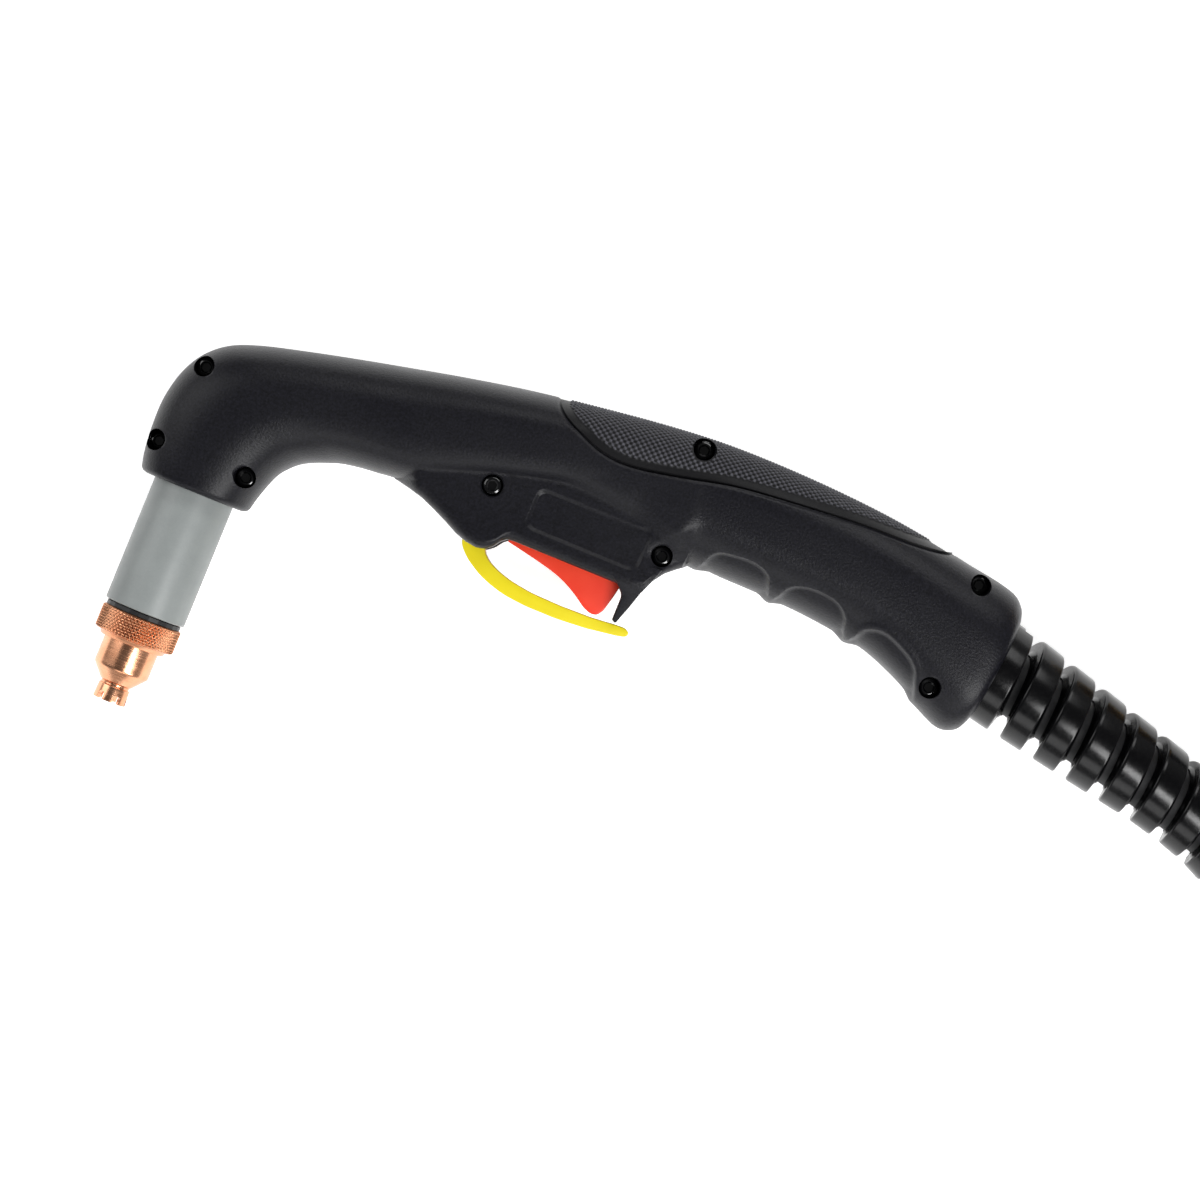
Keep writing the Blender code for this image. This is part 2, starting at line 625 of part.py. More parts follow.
def hollow_form():
    """The space inside the handle, less the bosses for the screws and the pins."""
    first, last = CAVITY_RINGS
    rings = [handle_ring(ring, WALL) for ring in HANDLE_RINGS[first:last:2]]
    hollow = add_cutter("hollow", loft_mesh(rings))
    housing = add_cutter("housing_hollow", plate_mesh(HOUSING_HOLLOW, HOUSING_HALF - WALL))
    join(hollow, housing)
    for index, (x, y) in enumerate(SCREWS, 1):
        ends = [(x * MM, y * MM, side * 2 * HANDLE_HALF) for side in (-1, 1)]
        cut(hollow, add_cutter(f"boss_{index}", rod_mesh(*ends, BOSS_R)))
    for name, (x, y) in (("trigger", TRIGGER_PIVOT), ("lever", LEVER_PIVOT)):
        for side in (-1, 1):
            ends = [(x * MM, y * MM, side * z) for z in (PIN_BOSS_IN, 2 * HANDLE_HALF)]
            cut(hollow, add_cutter(f"{name}_boss_{side}", rod_mesh(*ends, PIN_BOSS_R)))
    return hollow


def lead_place(along, radius=0.0, angle=0.0):
    """A point on or round the lead's straight axis at the handle; angle 0 is the top side."""
    heading = Vector((math.cos(LEAD_ANGLE), math.sin(LEAD_ANGLE), 0.0))
    up = Vector((-heading.y, heading.x, 0.0))
    start = Vector((*LEAD_AXIS_POINT, 0.0)) * MM
    return start + heading * along + (up * math.cos(angle) + Vector((0, 0, 1)) * math.sin(angle)) * radius


def handle_cutters(seats):
    """What is cut out of both shells."""
    bore = SLEEVE_R + GAP
    cutters = [
        add_cutter("sleeve_bore", rod_mesh((0, 25 * MM, 0), (0, SLEEVE_TOP + GAP, 0), bore, ROUND_STEPS)),
        add_cutter("head_bore", rod_mesh((0, 30 * MM, 0), (0, MOULDING_TOP + 6 * MM, 0),
                                         SLEEVE_BORE_R, ROUND_STEPS)),
        add_cutter("trigger_slot", box_mesh((SLOT_X[0], 35 * MM, -SLOT_HALF), (SLOT_X[1], SLOT_TOP, SLOT_HALF))),
        add_cutter("guard_opening", rod_mesh(lead_place(GUARD_FLANGE[0] - 1.5 * MM), lead_place(20 * MM),
                                             GUARD_COLLAR_R + 0.4 * MM, ROUND_STEPS)),
        add_cutter("lead_passage", rod_mesh(lead_place(LEAD_START - 4 * MM), lead_place(GUARD_FLANGE[0]),
                                            CLAMP_R + GAP, ROUND_STEPS)),
        add_cutter("flange_pocket", rod_mesh(lead_place(GUARD_FLANGE[0] - GAP), lead_place(GUARD_FLANGE[1] + GAP),
                                             GUARD_FLANGE_R + GAP, ROUND_STEPS)),
    ]
    for name, (x, y) in (("trigger", TRIGGER_PIVOT), ("lever", LEVER_PIVOT)):
        ends = [(x * MM, y * MM, side * (PIN_HALF + GAP)) for side in (-1, 1)]
        cutters.append(add_cutter(f"{name}_pin_bore", rod_mesh(*ends, PIN_R + RUNNING)))
    for index, ((x, y), (seat, surface)) in enumerate(zip(SCREWS, seats), 1):
        x, y = x * MM, y * MM
        under = seat - SCREW_HEAD_H - GAP
        tip = -(surface - SCREW_COVER) - GAP
        cutters.append(add_cutter(f"screw_bore_{index}", rod_mesh((x, y, tip), (x, y, seat), SCREW_SHANK_R + GAP)))
        cutters.append(add_cutter(f"head_recess_{index}", rod_mesh((x, y, under), (x, y, 2 * HANDLE_HALF),
                                                                   SCREW_HEAD_R + GAP, 14)))
    return cutters


def round_box(low_x, high_x, low_y, high_y, corner):
    """A rectangle with round corners, as a closed line of (x, y) pairs."""
    ring = []
    for quarter, (x, y) in enumerate(((high_x, high_y), (low_x, high_y), (low_x, low_y), (high_x, low_y))):
        middle_x = x - math.copysign(corner, x - (low_x + high_x) / 2)
        middle_y = y - math.copysign(corner, y - (low_y + high_y) / 2)
        for step in range(CORNER_STEPS + 1):
            angle = (quarter + step / CORNER_STEPS) * math.pi / 2
            ring.append((middle_x + corner * math.cos(angle), middle_y + corner * math.sin(angle)))
    return ring


def grown(outline, gap):
    """A closed anticlockwise outline with every side moved outwards by a gap."""
    points = [Vector(point) for point in outline]
    found = []
    for before, here, after in zip(points[-1:] + points[:-1], points, points[1:] + points[:1]):
        first, second = (here - before).normalized(), (after - here).normalized()
        out = Vector((first.y + second.y, -first.x - second.x)) / (1 + first.dot(second))
        found.append(tuple(here + out * gap))
    return found


def label_recess():
    """A shallow recess with round corners on the left side."""
    (low_x, low_y), (high_x, high_y) = LABEL_BOX
    outline = round_box(low_x, high_x, low_y, high_y, LABEL_CORNER / MM)
    return add_cutter("label_recess", plate_mesh(outline, 5 * MM, HOUSING_HALF - LABEL_DEPTH + 5 * MM))


def pad_form(form):
    """The pad's region of the handle, PAD_THICKNESS deep, and the pocket that it sits in."""
    pad_floor = grip_form("pad_floor", PAD_THICKNESS)
    pocket_floor = grip_form("pocket_floor", PAD_THICKNESS + GAP)
    region = add_cutter("pad_region", plate_mesh(PAD_OUTLINE, 2 * HANDLE_HALF))
    pad = add_cutter("pad_form", evaluated_mesh(form))
    cut(boolean(pad, region, "INTERSECT"), pad_floor)
    pocket = add_cutter("pad_pocket", plate_mesh(grown(PAD_OUTLINE, GAP / MM), 2 * HANDLE_HALF))
    return pad, cut(pocket, pocket_floor)


def half_space(name, side):
    low, high = sorted((side * PARTING, side * 4 * HANDLE_HALF))
    return add_cutter(name, box_mesh((-0.1, -0.1, low), (0.4, 0.2, high)))


def build_handle():
    form = handle_form()
    seats = [screw_seat(form, place) for place in SCREWS]
    hollow = hollow_form()
    pad, pocket = pad_form(form)
    cutters = handle_cutters(seats)
    halves = {"left": half_space("left_half", 1), "right": half_space("right_half", -1)}
    whole = evaluated_mesh(form)
    for side, half in halves.items():
        shell = add_part(f"handle_{side}", whole.copy(), "handle")
        cut(boolean(shell, half, "INTERSECT"), hollow, pocket, *cutters)
        grip_pad = add_part(f"grip_pad_{side}", evaluated_mesh(pad), "pad")
        cut(boolean(grip_pad, half, "INTERSECT"), bpy.data.objects["head_recess_6"], bpy.data.objects["screw_bore_6"])
        if side == "left":
            cut(shell, label_recess())
    for index, (place, seat) in enumerate(zip(SCREWS, seats), 1):
        build_screw(index, place, *seat)


def build_screw(index, place, seat, surface):
    """A socket screw down through the left shell into the right one."""
    x, y = place[0] * MM, place[1] * MM
    frame = Matrix.Translation((x, y, seat))
    tip = -(surface - SCREW_COVER) - seat
    profile = [
        (SCREW_HEAD_R - 0.4 * MM, 0.0), (SCREW_HEAD_R, -0.4 * MM), (SCREW_HEAD_R, -SCREW_HEAD_H),
        (SCREW_SHANK_R, -SCREW_HEAD_H), (SCREW_SHANK_R, tip),
    ]
    screw = add_part(f"handle_screw_{index}", turned_mesh(profile, steps=12, frame=frame), "screw", (x, y, seat))
    socket = rod_mesh((x, y, seat - SOCKET_DEPTH), (x, y, seat + MM), SOCKET_R, 6)
    return cut(screw, add_cutter(f"screw_socket_{index}", socket))


# --- head ---------------------------------------------------------------------------------------
def build_head():
    """The insulated head, from the sleeve down to the electrode, all turned about the Y axis."""
    edge = 0.5 * MM
    sleeve = turned_mesh(
        [(SLEEVE_R - edge, SLEEVE_TOP), (SLEEVE_R, SLEEVE_TOP - edge), (SLEEVE_R, edge), (SLEEVE_R - edge, 0.0)],
        [(SLEEVE_BORE_R, SLEEVE_TOP), (SLEEVE_BORE_R, 0.0)])
    add_part("head_sleeve", sleeve, "sleeve")
    neck_out = SLEEVE_BORE_R - GAP
    neck_bore = neck_out - NECK_WALL
    neck = turned_mesh(
        [(neck_out, NECK_TUBE_TOP), (neck_out, -GAP), (NECK_R, -GAP), (NECK_R, NECK_LOW)],
        [(neck_bore, NECK_TUBE_TOP), (neck_bore, NECK_LOW)])
    add_part("head_neck", neck, "moulding")
    shoulder = NECK_LOW - GAP
    anode_out = neck_bore - GAP
    anode = turned_mesh(
        [(anode_out, ANODE_TOP), (anode_out, shoulder), (ANODE_THREAD_R, shoulder), (ANODE_THREAD_R, ANODE_LOW)],
        [(ANODE_BORE_R, ANODE_TOP), (ANODE_BORE_R, ANODE_LOW)])
    add_part("anode_body", anode, "brass")
    cathode_low = ELECTRODE_TOP + GAP
    cathode = turned_mesh([(CATHODE_R - edge, CATHODE_TOP), (CATHODE_R, CATHODE_TOP - edge), (CATHODE_R, cathode_low)])
    add_part("cathode_body", cathode, "brass")
    moulding_low = NECK_TUBE_TOP + GAP
    moulding = turned_mesh(
        [(neck_out, MOULDING_TOP), (neck_out, moulding_low)],
        [(CATHODE_R + GAP, MOULDING_TOP), (CATHODE_R + GAP, moulding_low)])
    add_part("head_moulding", moulding, "moulding")
    electrode = turned_mesh([
        (2.2 * MM, ELECTRODE_TOP), (2.2 * MM, 0.6 * MM), (ELECTRODE_R, 0.4 * MM), (ELECTRODE_R, ELECTRODE_LOW + 2 * MM),
        (2.4 * MM, ELECTRODE_LOW + 0.4 * MM), (1.8 * MM, ELECTRODE_LOW)], steps=20)
    add_part("electrode", electrode, "copper")
    swirl_out = ANODE_BORE_R - GAP
    swirl_bore = ELECTRODE_R + GAP
    swirl = turned_mesh(
        [(swirl_out, SWIRL_TOP), (swirl_out, SWIRL_LOW)], [(swirl_bore, SWIRL_TOP), (swirl_bore, SWIRL_LOW)], steps=24)
    add_part("swirl_ring", swirl, "swirl")
    ring_r = (ANODE_BORE_R + CATHODE_R) / 2
    wire_r = (ANODE_BORE_R - CATHODE_R) / 2 - 0.15 * MM
    angles = [math.tau * index / O_RING_STEPS for index in range(O_RING_STEPS)]
    circle = [Vector((ring_r * math.cos(angle), O_RING_HEIGHT, ring_r * math.sin(angle))) for angle in angles]
    add_part("o_ring", tube_mesh(circle, wire_r, 1, cyclic=True), "moulding")


def build_cap():
    """The knurled cap's blank with its stepped bore: the nozzle's flange sits on the lip at its foot."""
    top = NECK_LOW - GAP
    lip_top = CAP_KNURL_LOW
    flange_r = ANODE_THREAD_R
    cap = turned_mesh(
        [(CAP_R - CAP_CHAMFER, top), (CAP_R, top - CAP_CHAMFER), (CAP_R, CAP_KNURL_LOW + CAP_CHAMFER),
         (CAP_R - CAP_CHAMFER, CAP_KNURL_LOW), (NOZZLE_R + 1.7 * MM, CAP_KNURL_LOW), (NOZZLE_R + 1.2 * MM, CAP_LOW)],
        [(flange_r + GAP, top), (flange_r + GAP, lip_top), (NOZZLE_R + GAP, lip_top), (NOZZLE_R + GAP, CAP_LOW)])
    add_part("retaining_cap", cap, "copper")


def build_nozzle():
    """The nozzle: flange, barrel, cone and the drag crown with its arches."""
    flange_low = CAP_KNURL_LOW + GAP
    flange_top = flange_low + NOZZLE_FLANGE_H
    bore_low = NOZZLE_CONE_TOP + 0.6 * MM
    crown_floor = CROWN_TOP - 1.2 * MM
    nozzle = turned_mesh(
        [(ANODE_THREAD_R, flange_top), (ANODE_THREAD_R, flange_low), (NOZZLE_R, flange_low),
         (NOZZLE_R, NOZZLE_CONE_TOP + 0.5 * MM), (NOZZLE_R - 0.4 * MM, NOZZLE_CONE_TOP),
         (NOZZLE_NECK_R + 0.5 * MM, NOZZLE_CONE_LOW), (NOZZLE_NECK_R, NOZZLE_CONE_LOW - 0.3 * MM),
         (NOZZLE_NECK_R, CROWN_TOP), (CROWN_R - 0.1 * MM, CROWN_TOP - 0.2 * MM), (CROWN_R, CROWN_LOW)],
        [(ANODE_BORE_R, flange_top), (ANODE_BORE_R, bore_low), (ORIFICE_R, bore_low - 2.4 * MM),
         (ORIFICE_R, crown_floor + 0.5 * MM), (CROWN_BORE_R, crown_floor), (CROWN_BORE_R, CROWN_LOW)])
    nozzle = add_part("nozzle", nozzle, "copper")
    for index in range(CROWN_SLOTS):
        angle = math.pi * (index + 0.5) / CROWN_SLOTS
        reach = Vector((math.cos(angle), 0.0, math.sin(angle))) * 2 * CROWN_R
        foot = Vector((0.0, CROWN_LOW - 0.1 * MM, 0.0))
        arch = rod_mesh(foot - reach, foot + reach, CROWN_SLOT_R, 8)
        cut(nozzle, add_cutter(f"crown_arch_{index}", arch))
    return nozzle


# --- trigger, lever, switch -----------------------------------------------------------------------
def pivoted(name, outline, half, web_outline, web_half, pivot, finish, edge):
    """A flat lever with a narrow web that carries its bore, turning on a pin."""
    x, y = pivot[0] * MM, pivot[1] * MM
    lever = add_part(name, plate_mesh(outline, half, edge=edge), finish, (x, y, 0.0))
    join(lever, add_cutter(f"{name}_web", plate_mesh(web_outline, web_half)))
    bore = rod_mesh((x, y, -2 * half), (x, y, 2 * half), PIN_R + RUNNING)
    return cut(lever, add_cutter(f"{name}_bore", bore))


def build_spring(name, pivot, start, end, first_leg, last_leg):
    """A torsion spring round a pin, wound clockwise from one angle to the other, with two legs."""
    x, y = pivot[0] * MM, pivot[1] * MM
    turn = start - end + SPRING_TURNS * math.tau
    steps = round(8 * turn / math.tau)
    coil = []
    for step in range(steps + 1):
        angle = start - turn * step / steps
        height = SPRING_START + SPRING_PITCH * turn / math.tau * step / steps
        coil.append(Vector((x + SPRING_R * math.cos(angle), y + SPRING_R * math.sin(angle), height)))
    low, high = coil[0].z, coil[-1].z
    legs_in = [Vector((px * MM, py * MM, low)) for px, py in first_leg]
    legs_out = [Vector((px * MM, py * MM, high)) for px, py in last_leg]
    add_part(name, tube_mesh(legs_in + coil + legs_out, SPRING_WIRE_R, 1), "steel", (x, y, 0.0))
    print(f"{name}: turns {SPRING_PITCH * 1000 - 2 * SPRING_WIRE_R * 1000:.2f} mm clear of each other")


def build_trigger():
    pivoted("trigger", TRIGGER_OUTLINE, TRIGGER_HALF, TRIGGER_WEB_OUTLINE, TRIGGER_WEB_HALF,
            TRIGGER_PIVOT, "trigger", 0.7 * MM)
    pivoted("safety_lever", LEVER_OUTLINE, LEVER_HALF, LEVER_HUB_OUTLINE, LEVER_HUB_HALF,
            LEVER_PIVOT, "lever", 0.8 * MM)
    for name, (x, y) in (("trigger_pin", TRIGGER_PIVOT), ("lever_pin", LEVER_PIVOT)):
        ends = [(x * MM, y * MM, side * PIN_HALF) for side in (-1, 1)]
        add_part(name, rod_mesh(*ends, PIN_R), "steel", (x * MM, y * MM, 0.0))
    build_spring("trigger_spring", TRIGGER_PIVOT, math.radians(-60), math.radians(-180), *TRIGGER_SPRING_LEGS)
    build_spring("lever_spring", LEVER_PIVOT, math.radians(180), math.radians(90), *LEVER_SPRING_LEGS)


def build_switch():
    """A microswitch over the trigger's web: a case with a well for its plunger."""
    low = (SWITCH_LOW[0] * MM, SWITCH_LOW[1] * MM, -SWITCH_HALF)
    high = (SWITCH_HIGH[0] * MM, SWITCH_HIGH[1] * MM, SWITCH_HALF)
    case = add_part("switch_case", box_mesh(low, high), "switch")
    foot = max(y for _, y in TRIGGER_WEB_OUTLINE) * MM + GAP
    head = foot + PLUNGER_LENGTH
    well = rod_mesh((PLUNGER_X, low[1] - MM, 0), (PLUNGER_X, head + PLUNGER_TRAVEL + GAP, 0), PLUNGER_R + RUNNING)
    cut(case, add_cutter("plunger_well", well))
    add_part("switch_plunger", rod_mesh((PLUNGER_X, foot, 0), (PLUNGER_X, head, 0), PLUNGER_R), "lever")


# --- lead ---------------------------------------------------------------------------------------
def guard_radius(along):
    share = min(max(along / GUARD_TAPER_END, 0.0), 1.0)
    return GUARD_R_START + (GUARD_R_END - GUARD_R_START) * share


def build_guard(line):
    """The bend guard: one right-handed band, spun out along a straight axis, then laid on the lead's line."""
    total = lengths_along(line)

    def on_lead(along, radius, angle):
        reach = along - LEAD_START
        segment = max(i for i in range(len(line) - 1) if total[i] <= max(reach, 0.0))
        heading = (line[segment + 1] - line[segment]).normalized()
        place = line[segment] + heading * (reach - total[segment])
        across = Vector((0, 0, 1)).cross(heading).normalized()
        over = heading.cross(across)
        return place + (across * math.cos(angle) + over * math.sin(angle)) * radius

    first, last = GUARD_HELIX
    turns = (last - first) / GUARD_PITCH
    steps = round(turns * GUARD_STEPS)
    bm = bmesh.new()
    start_angle = math.tau * (first - GUARD_TOP_AT) / GUARD_PITCH
    corners = [bm.verts.new((first + along, radius, 0.0)) for along, radius in (
        (-GUARD_BAND / 2, GUARD_BORE_R), (GUARD_BAND / 2, GUARD_BORE_R),
        (GUARD_BAND / 2, GUARD_R_START), (-GUARD_BAND / 2, GUARD_R_START))]
    face = bm.faces.new(corners)
    bmesh.ops.rotate(bm, verts=bm.verts, cent=(0, 0, 0), matrix=Matrix.Rotation(start_angle, 3, "X"))
    bmesh.ops.spin(bm, geom=[face] + list(face.edges) + corners, cent=(0, 0, 0), axis=(1, 0, 0),
                   dvec=((last - first) / steps, 0, 0), angle=turns * math.tau, steps=steps, use_duplicate=False)
    for vert in bm.verts:
        along, radius, angle = vert.co.x, Vector((vert.co.y, vert.co.z)).length, math.atan2(vert.co.z, vert.co.y)
        if radius > (GUARD_BORE_R + GUARD_R_END) / 2:
            radius = guard_radius(along)
        vert.co = on_lead(along, radius, angle)
    band = add_cutter("guard_band", mesh_from(bm, "band"))
    turn = (lead_place(1.0) - lead_place(0.0)).to_track_quat("Z", "Y").to_matrix().to_4x4()
    frame = Matrix.Translation(lead_place(0.0)) @ turn
    flange_in, flange_out = GUARD_FLANGE
    collar = turned_mesh(
        [(GUARD_COLLAR_R, GUARD_COLLAR_OUT), (GUARD_COLLAR_R, flange_out), (GUARD_FLANGE_R, flange_out),
         (GUARD_FLANGE_R, flange_in)],
        [(GUARD_BORE_R, GUARD_COLLAR_OUT), (GUARD_BORE_R, flange_in)], frame=frame)
    guard = add_part("bend_guard", collar, "guard")
    join(guard, band)
    clamp_out = flange_in - GAP
    clamp = turned_mesh(
        [(CLAMP_R, clamp_out), (CLAMP_R, clamp_out - CLAMP_LENGTH)],
        [(LEAD_R + GAP, clamp_out), (LEAD_R + GAP, clamp_out - CLAMP_LENGTH)], steps=24, frame=frame)
    add_part("cable_clamp", clamp, "brass")


def coil_line():
    """The coil's centre line: in on the floor, up through a half turn, and out on top."""
    entry = Vector((*COIL_ENTRY, 0.0)) * MM
    sweep = COIL_EXIT_ANGLE - COIL_ENTRY_ANGLE + math.tau * (COIL_WHOLE_TURNS + 1)
    half = sweep / 2
    outer = COIL_INNER_R + COIL_STEP * half / math.tau
    rest = -HANDLE_HALF + LEAD_R + LEAD_LIFT
    way = Vector((math.cos(COIL_ENTRY_ANGLE), math.sin(COIL_ENTRY_ANGLE), 0.0))
    middle = entry - way * outer
    count = round(sweep / math.tau * COIL_TURN_POINTS)
    line = []
    for index in range(count + 1):
        turned = sweep * index / count
        radius = COIL_INNER_R + COIL_STEP * abs(turned - half) / math.tau
        climb = min(max((turned - half) / math.pi + 0.5, 0.0), 1.0)
        height = rest + COIL_STEP * (1 - math.cos(math.pi * climb)) / 2
        angle = COIL_ENTRY_ANGLE + turned
        line.append(Vector((middle.x + radius * math.cos(angle), middle.y + radius * math.sin(angle), height)))
    heading_in = Vector((-way.y, way.x, 0.0))
    heading_out = Vector((-math.sin(COIL_EXIT_ANGLE), math.cos(COIL_EXIT_ANGLE), 0.0))
    line = [line[0] - heading_in * 2 * LEAD_R] + line + [line[-1] + heading_out * 2 * LEAD_R]
    return line, middle, heading_out


def print_least_gap(line):
    """Prints the least gap between turns of the coil, measured on its centre line."""
    total = lengths_along(line)
    least = math.inf
    for i, first in enumerate(line):
        for j in range(i + 1, len(line) - 1):
            if total[j] - total[i] > 6 * LEAD_R:
                second, third = line[j], line[j + 1]
                span = third - second
                share = min(max((first - second).dot(span) / span.length_squared, 0.0), 1.0)
                least = min(least, (first - second - span * share).length)
    print(f"cable_coil: least gap between turns {(least - 2 * LEAD_R) * 1000:.2f} mm")


def build_ties(line, middle):
    """Straps round the coil: each a flat band bent round its section of turns."""
    for index, angle in enumerate(TIE_ANGLES, 1):
        way = Vector((math.cos(angle), math.sin(angle), 0.0))
        along = Vector((-way.y, way.x, 0.0))
        radii = [(p - middle).dot(way) for p in line if abs((p - middle).dot(along)) < 14 * MM and (p - middle).dot(way) > 0]
        low_r, high_r = min(radii) - LEAD_R - 0.6 * MM, max(radii) + LEAD_R + 0.6 * MM
        low_z = -HANDLE_HALF + 0.05 * MM
        high_z = -HANDLE_HALF + LEAD_LIFT + 2 * LEAD_R + COIL_STEP + 0.5 * MM + TIE_THICKNESS
        rings = []
        for side in (-TIE_WIDTH / 2, TIE_WIDTH / 2):
            outer = round_box(low_r - TIE_THICKNESS, high_r + TIE_THICKNESS, low_z, high_z, LEAD_R + TIE_THICKNESS)
            inner = round_box(low_r, high_r, low_z + TIE_THICKNESS, high_z - TIE_THICKNESS, LEAD_R)
            rings.append([[middle.xy.to_3d() + way * r + along * side + Vector((0, 0, z)) for r, z in ring]
                          for ring in (outer, inner)])
        bm = bmesh.new()
        loops = [[bm.verts.new(p) for p in ring] for ring in (rings[0][0], rings[1][0], rings[1][1], rings[0][1])]
        for first, second in zip(loops, loops[1:] + loops[:1]):
            for i in range(len(first)):
                j = (i + 1) % len(first)
                bm.faces.new((first[i], first[j], second[j], second[i]))
        add_part(f"cable_tie_{index}", mesh_from(bm, "strap"), "tie")


def build_connector(end, heading):
    """The connector on the lead's end, turned about the lead's last heading."""
    turn = heading.to_track_quat("Z", "Y").to_matrix().to_4x4()
    frame = Matrix.Translation(end) @ turn
    bore = LEAD_R + GAP
    boot = turned_mesh(
        [(BOOT_R[1], BOOT_LENGTH), (BOOT_R[0], 2 * MM), (BOOT_R[0] - MM, 0.0)],
        [(bore, BOOT_LENGTH), (bore, 0.0)], frame=frame @ Matrix.Translation((0, 0, -BOOT_LENGTH + 6 * MM)))
    add_part("connector_boot", boot, "guard")
    body_at = 6 * MM + GAP
    body_end = body_at + BODY_LENGTH
    ridge = BODY_R - 1.5 * MM
    body = turned_mesh(
        [(ridge, body_end), (ridge, body_end - 4 * MM), (BODY_R, body_end - 5 * MM), (BODY_R, body_at + 10 * MM),
         (BODY_R - 2 * MM, body_at + 2 * MM), (BODY_R - 4 * MM, body_at)],
        [(INSERT_R + GAP, body_end), (INSERT_R + GAP, body_at)], frame=frame)
    add_part("connector_body", body, "switch")
    insert_end = body_end + NUT_LENGTH + INSERT_PROUD
    insert = add_part("connector_insert", turned_mesh(
        [(INSERT_R - MM, insert_end), (INSERT_R, insert_end - MM), (INSERT_R, body_at)], frame=frame), "swirl")
    nut_at = body_end + GAP
    nut_end = nut_at + NUT_LENGTH
    nut = add_part("connector_nut", turned_mesh(
        [(NUT_R - MM, nut_end), (NUT_R, nut_end - MM), (NUT_R, nut_at + MM), (NUT_R - MM, nut_at)],
        [(INSERT_R + GAP, nut_end), (INSERT_R + GAP, nut_at)], steps=32, frame=frame), "brass",
        frame @ Vector((0, 0, nut_at)))
    for index in range(NUT_LOBES):
        angle = math.tau * (index + 0.5) / NUT_LOBES
        rim = Vector((math.cos(angle), math.sin(angle), 0)) * (NUT_R + 1.2 * MM)
        flute = rod_mesh(frame @ (rim + Vector((0, 0, nut_at - MM))), frame @ (rim + Vector((0, 0, nut_end + MM))),
                         2.4 * MM, 8)
        cut(nut, add_cutter(f"nut_flute_{index}", flute))
    plug = rod_mesh(frame @ Vector((0, 0, insert_end - 10 * MM)), frame @ Vector((0, 0, insert_end + PLUG_PROUD)),
                    PLUG_R, 20)
    add_part("gas_power_plug", plug, "brass")
    hole = rod_mesh(frame @ Vector((0, 0, insert_end - 10 * MM - GAP)), frame @ Vector((0, 0, insert_end + MM)),
                    PLUG_R + GAP, 20)
    cut(insert, add_cutter("plug_hole", hole))
    for index in range(CONTROL_PINS):
        angle = math.tau * (index + 0.5) / CONTROL_PINS
        spot = Vector((math.cos(angle), math.sin(angle), 0)) * CONTROL_PIN_AT
        low, high = insert_end - 6 * MM, insert_end + CONTROL_PIN_PROUD
        pin = rod_mesh(frame @ (spot + Vector((0, 0, low))), frame @ (spot + Vector((0, 0, high))), CONTROL_PIN_R, 10)
        add_part(f"control_pin_{index + 1}", pin, "brass")
        hole = rod_mesh(frame @ (spot + Vector((0, 0, low - GAP))), frame @ (spot + Vector((0, 0, insert_end + MM))),
                        CONTROL_PIN_R + GAP, 10)
        cut(insert, add_cutter(f"pin_hole_{index}", hole))
    show("connector axis through", frame @ Vector((0, 0, nut_at)))
    show("connector heading", heading)
    show("insert face", frame @ Vector((0, 0, insert_end)))


def show(what, place):
    print(what, [round(value, 6) for value in place])


def build_lead():
    coil, middle, heading_out = coil_line()
    route = [tuple(lead_place(along) / MM) for along in (LEAD_START, LEAD_STRAIGHT)] + LEAD_ROUTE
    line = smooth_route(route, ROUTE_STEP)
    heading = (coil[1] - coil[0]).normalized()
    line[-1] = coil[0] - heading * GAP
    line[-2] = coil[0] - heading * (GAP + (line[-1] - line[-2]).length)
    add_part("cable", tube_mesh(line, LEAD_R, 2), "lead")
    build_guard(smooth_route(route, ROUTE_STEP / 4))
    print_least_gap(coil)
    add_part("cable_coil", tube_mesh(coil, LEAD_R, 1), "lead")
    build_ties(coil, middle)
    across_out = Vector((-heading_out.y, heading_out.x, 0.0))
    start = coil[-1] + heading_out * GAP
    tail = [start + heading_out * (a * MM) + across_out * (c * MM) + Vector((0, 0, h * MM)) for a, c, h in TAIL_ROUTE]
    tail = smooth_route([point / MM for point in tail], ROUTE_STEP)
    add_part("cable_end", tube_mesh(tail, LEAD_R, 2), "lead")
    whole = sum(lengths_along(part)[-1] for part in (line, coil, tail))
    print(f"lead: {whole:.3f} m long, free {lengths_along(line)[-1]:.3f} m, coil {lengths_along(coil)[-1]:.3f} m")
    show("coil begins", coil[0])
    show("coil middle", middle)
    show("tail starts", tail[0])
    heading = (tail[-1] - tail[-2]).normalized()
    build_connector(tail[-1] + heading * GAP, heading)


def build_wires():
    for name, (radius, points) in WIRE_ROUTES.items():
        finish = "tube" if radius > 2 else "wire"
        line = smooth_route(on_grip(points), ROUTE_STEP)
        add_part(name, tube_mesh(line, radius * MM, 2 if radius > 2 else 1), finish)


build_handle()
build_head()
build_cap()
build_nozzle()
build_trigger()
build_switch()
build_wires()
build_lead()
show("torch datum", TORCH.location)
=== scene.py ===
import json
import math

import bmesh
import bpy
import numpy as np
from mathutils import Matrix, Vector

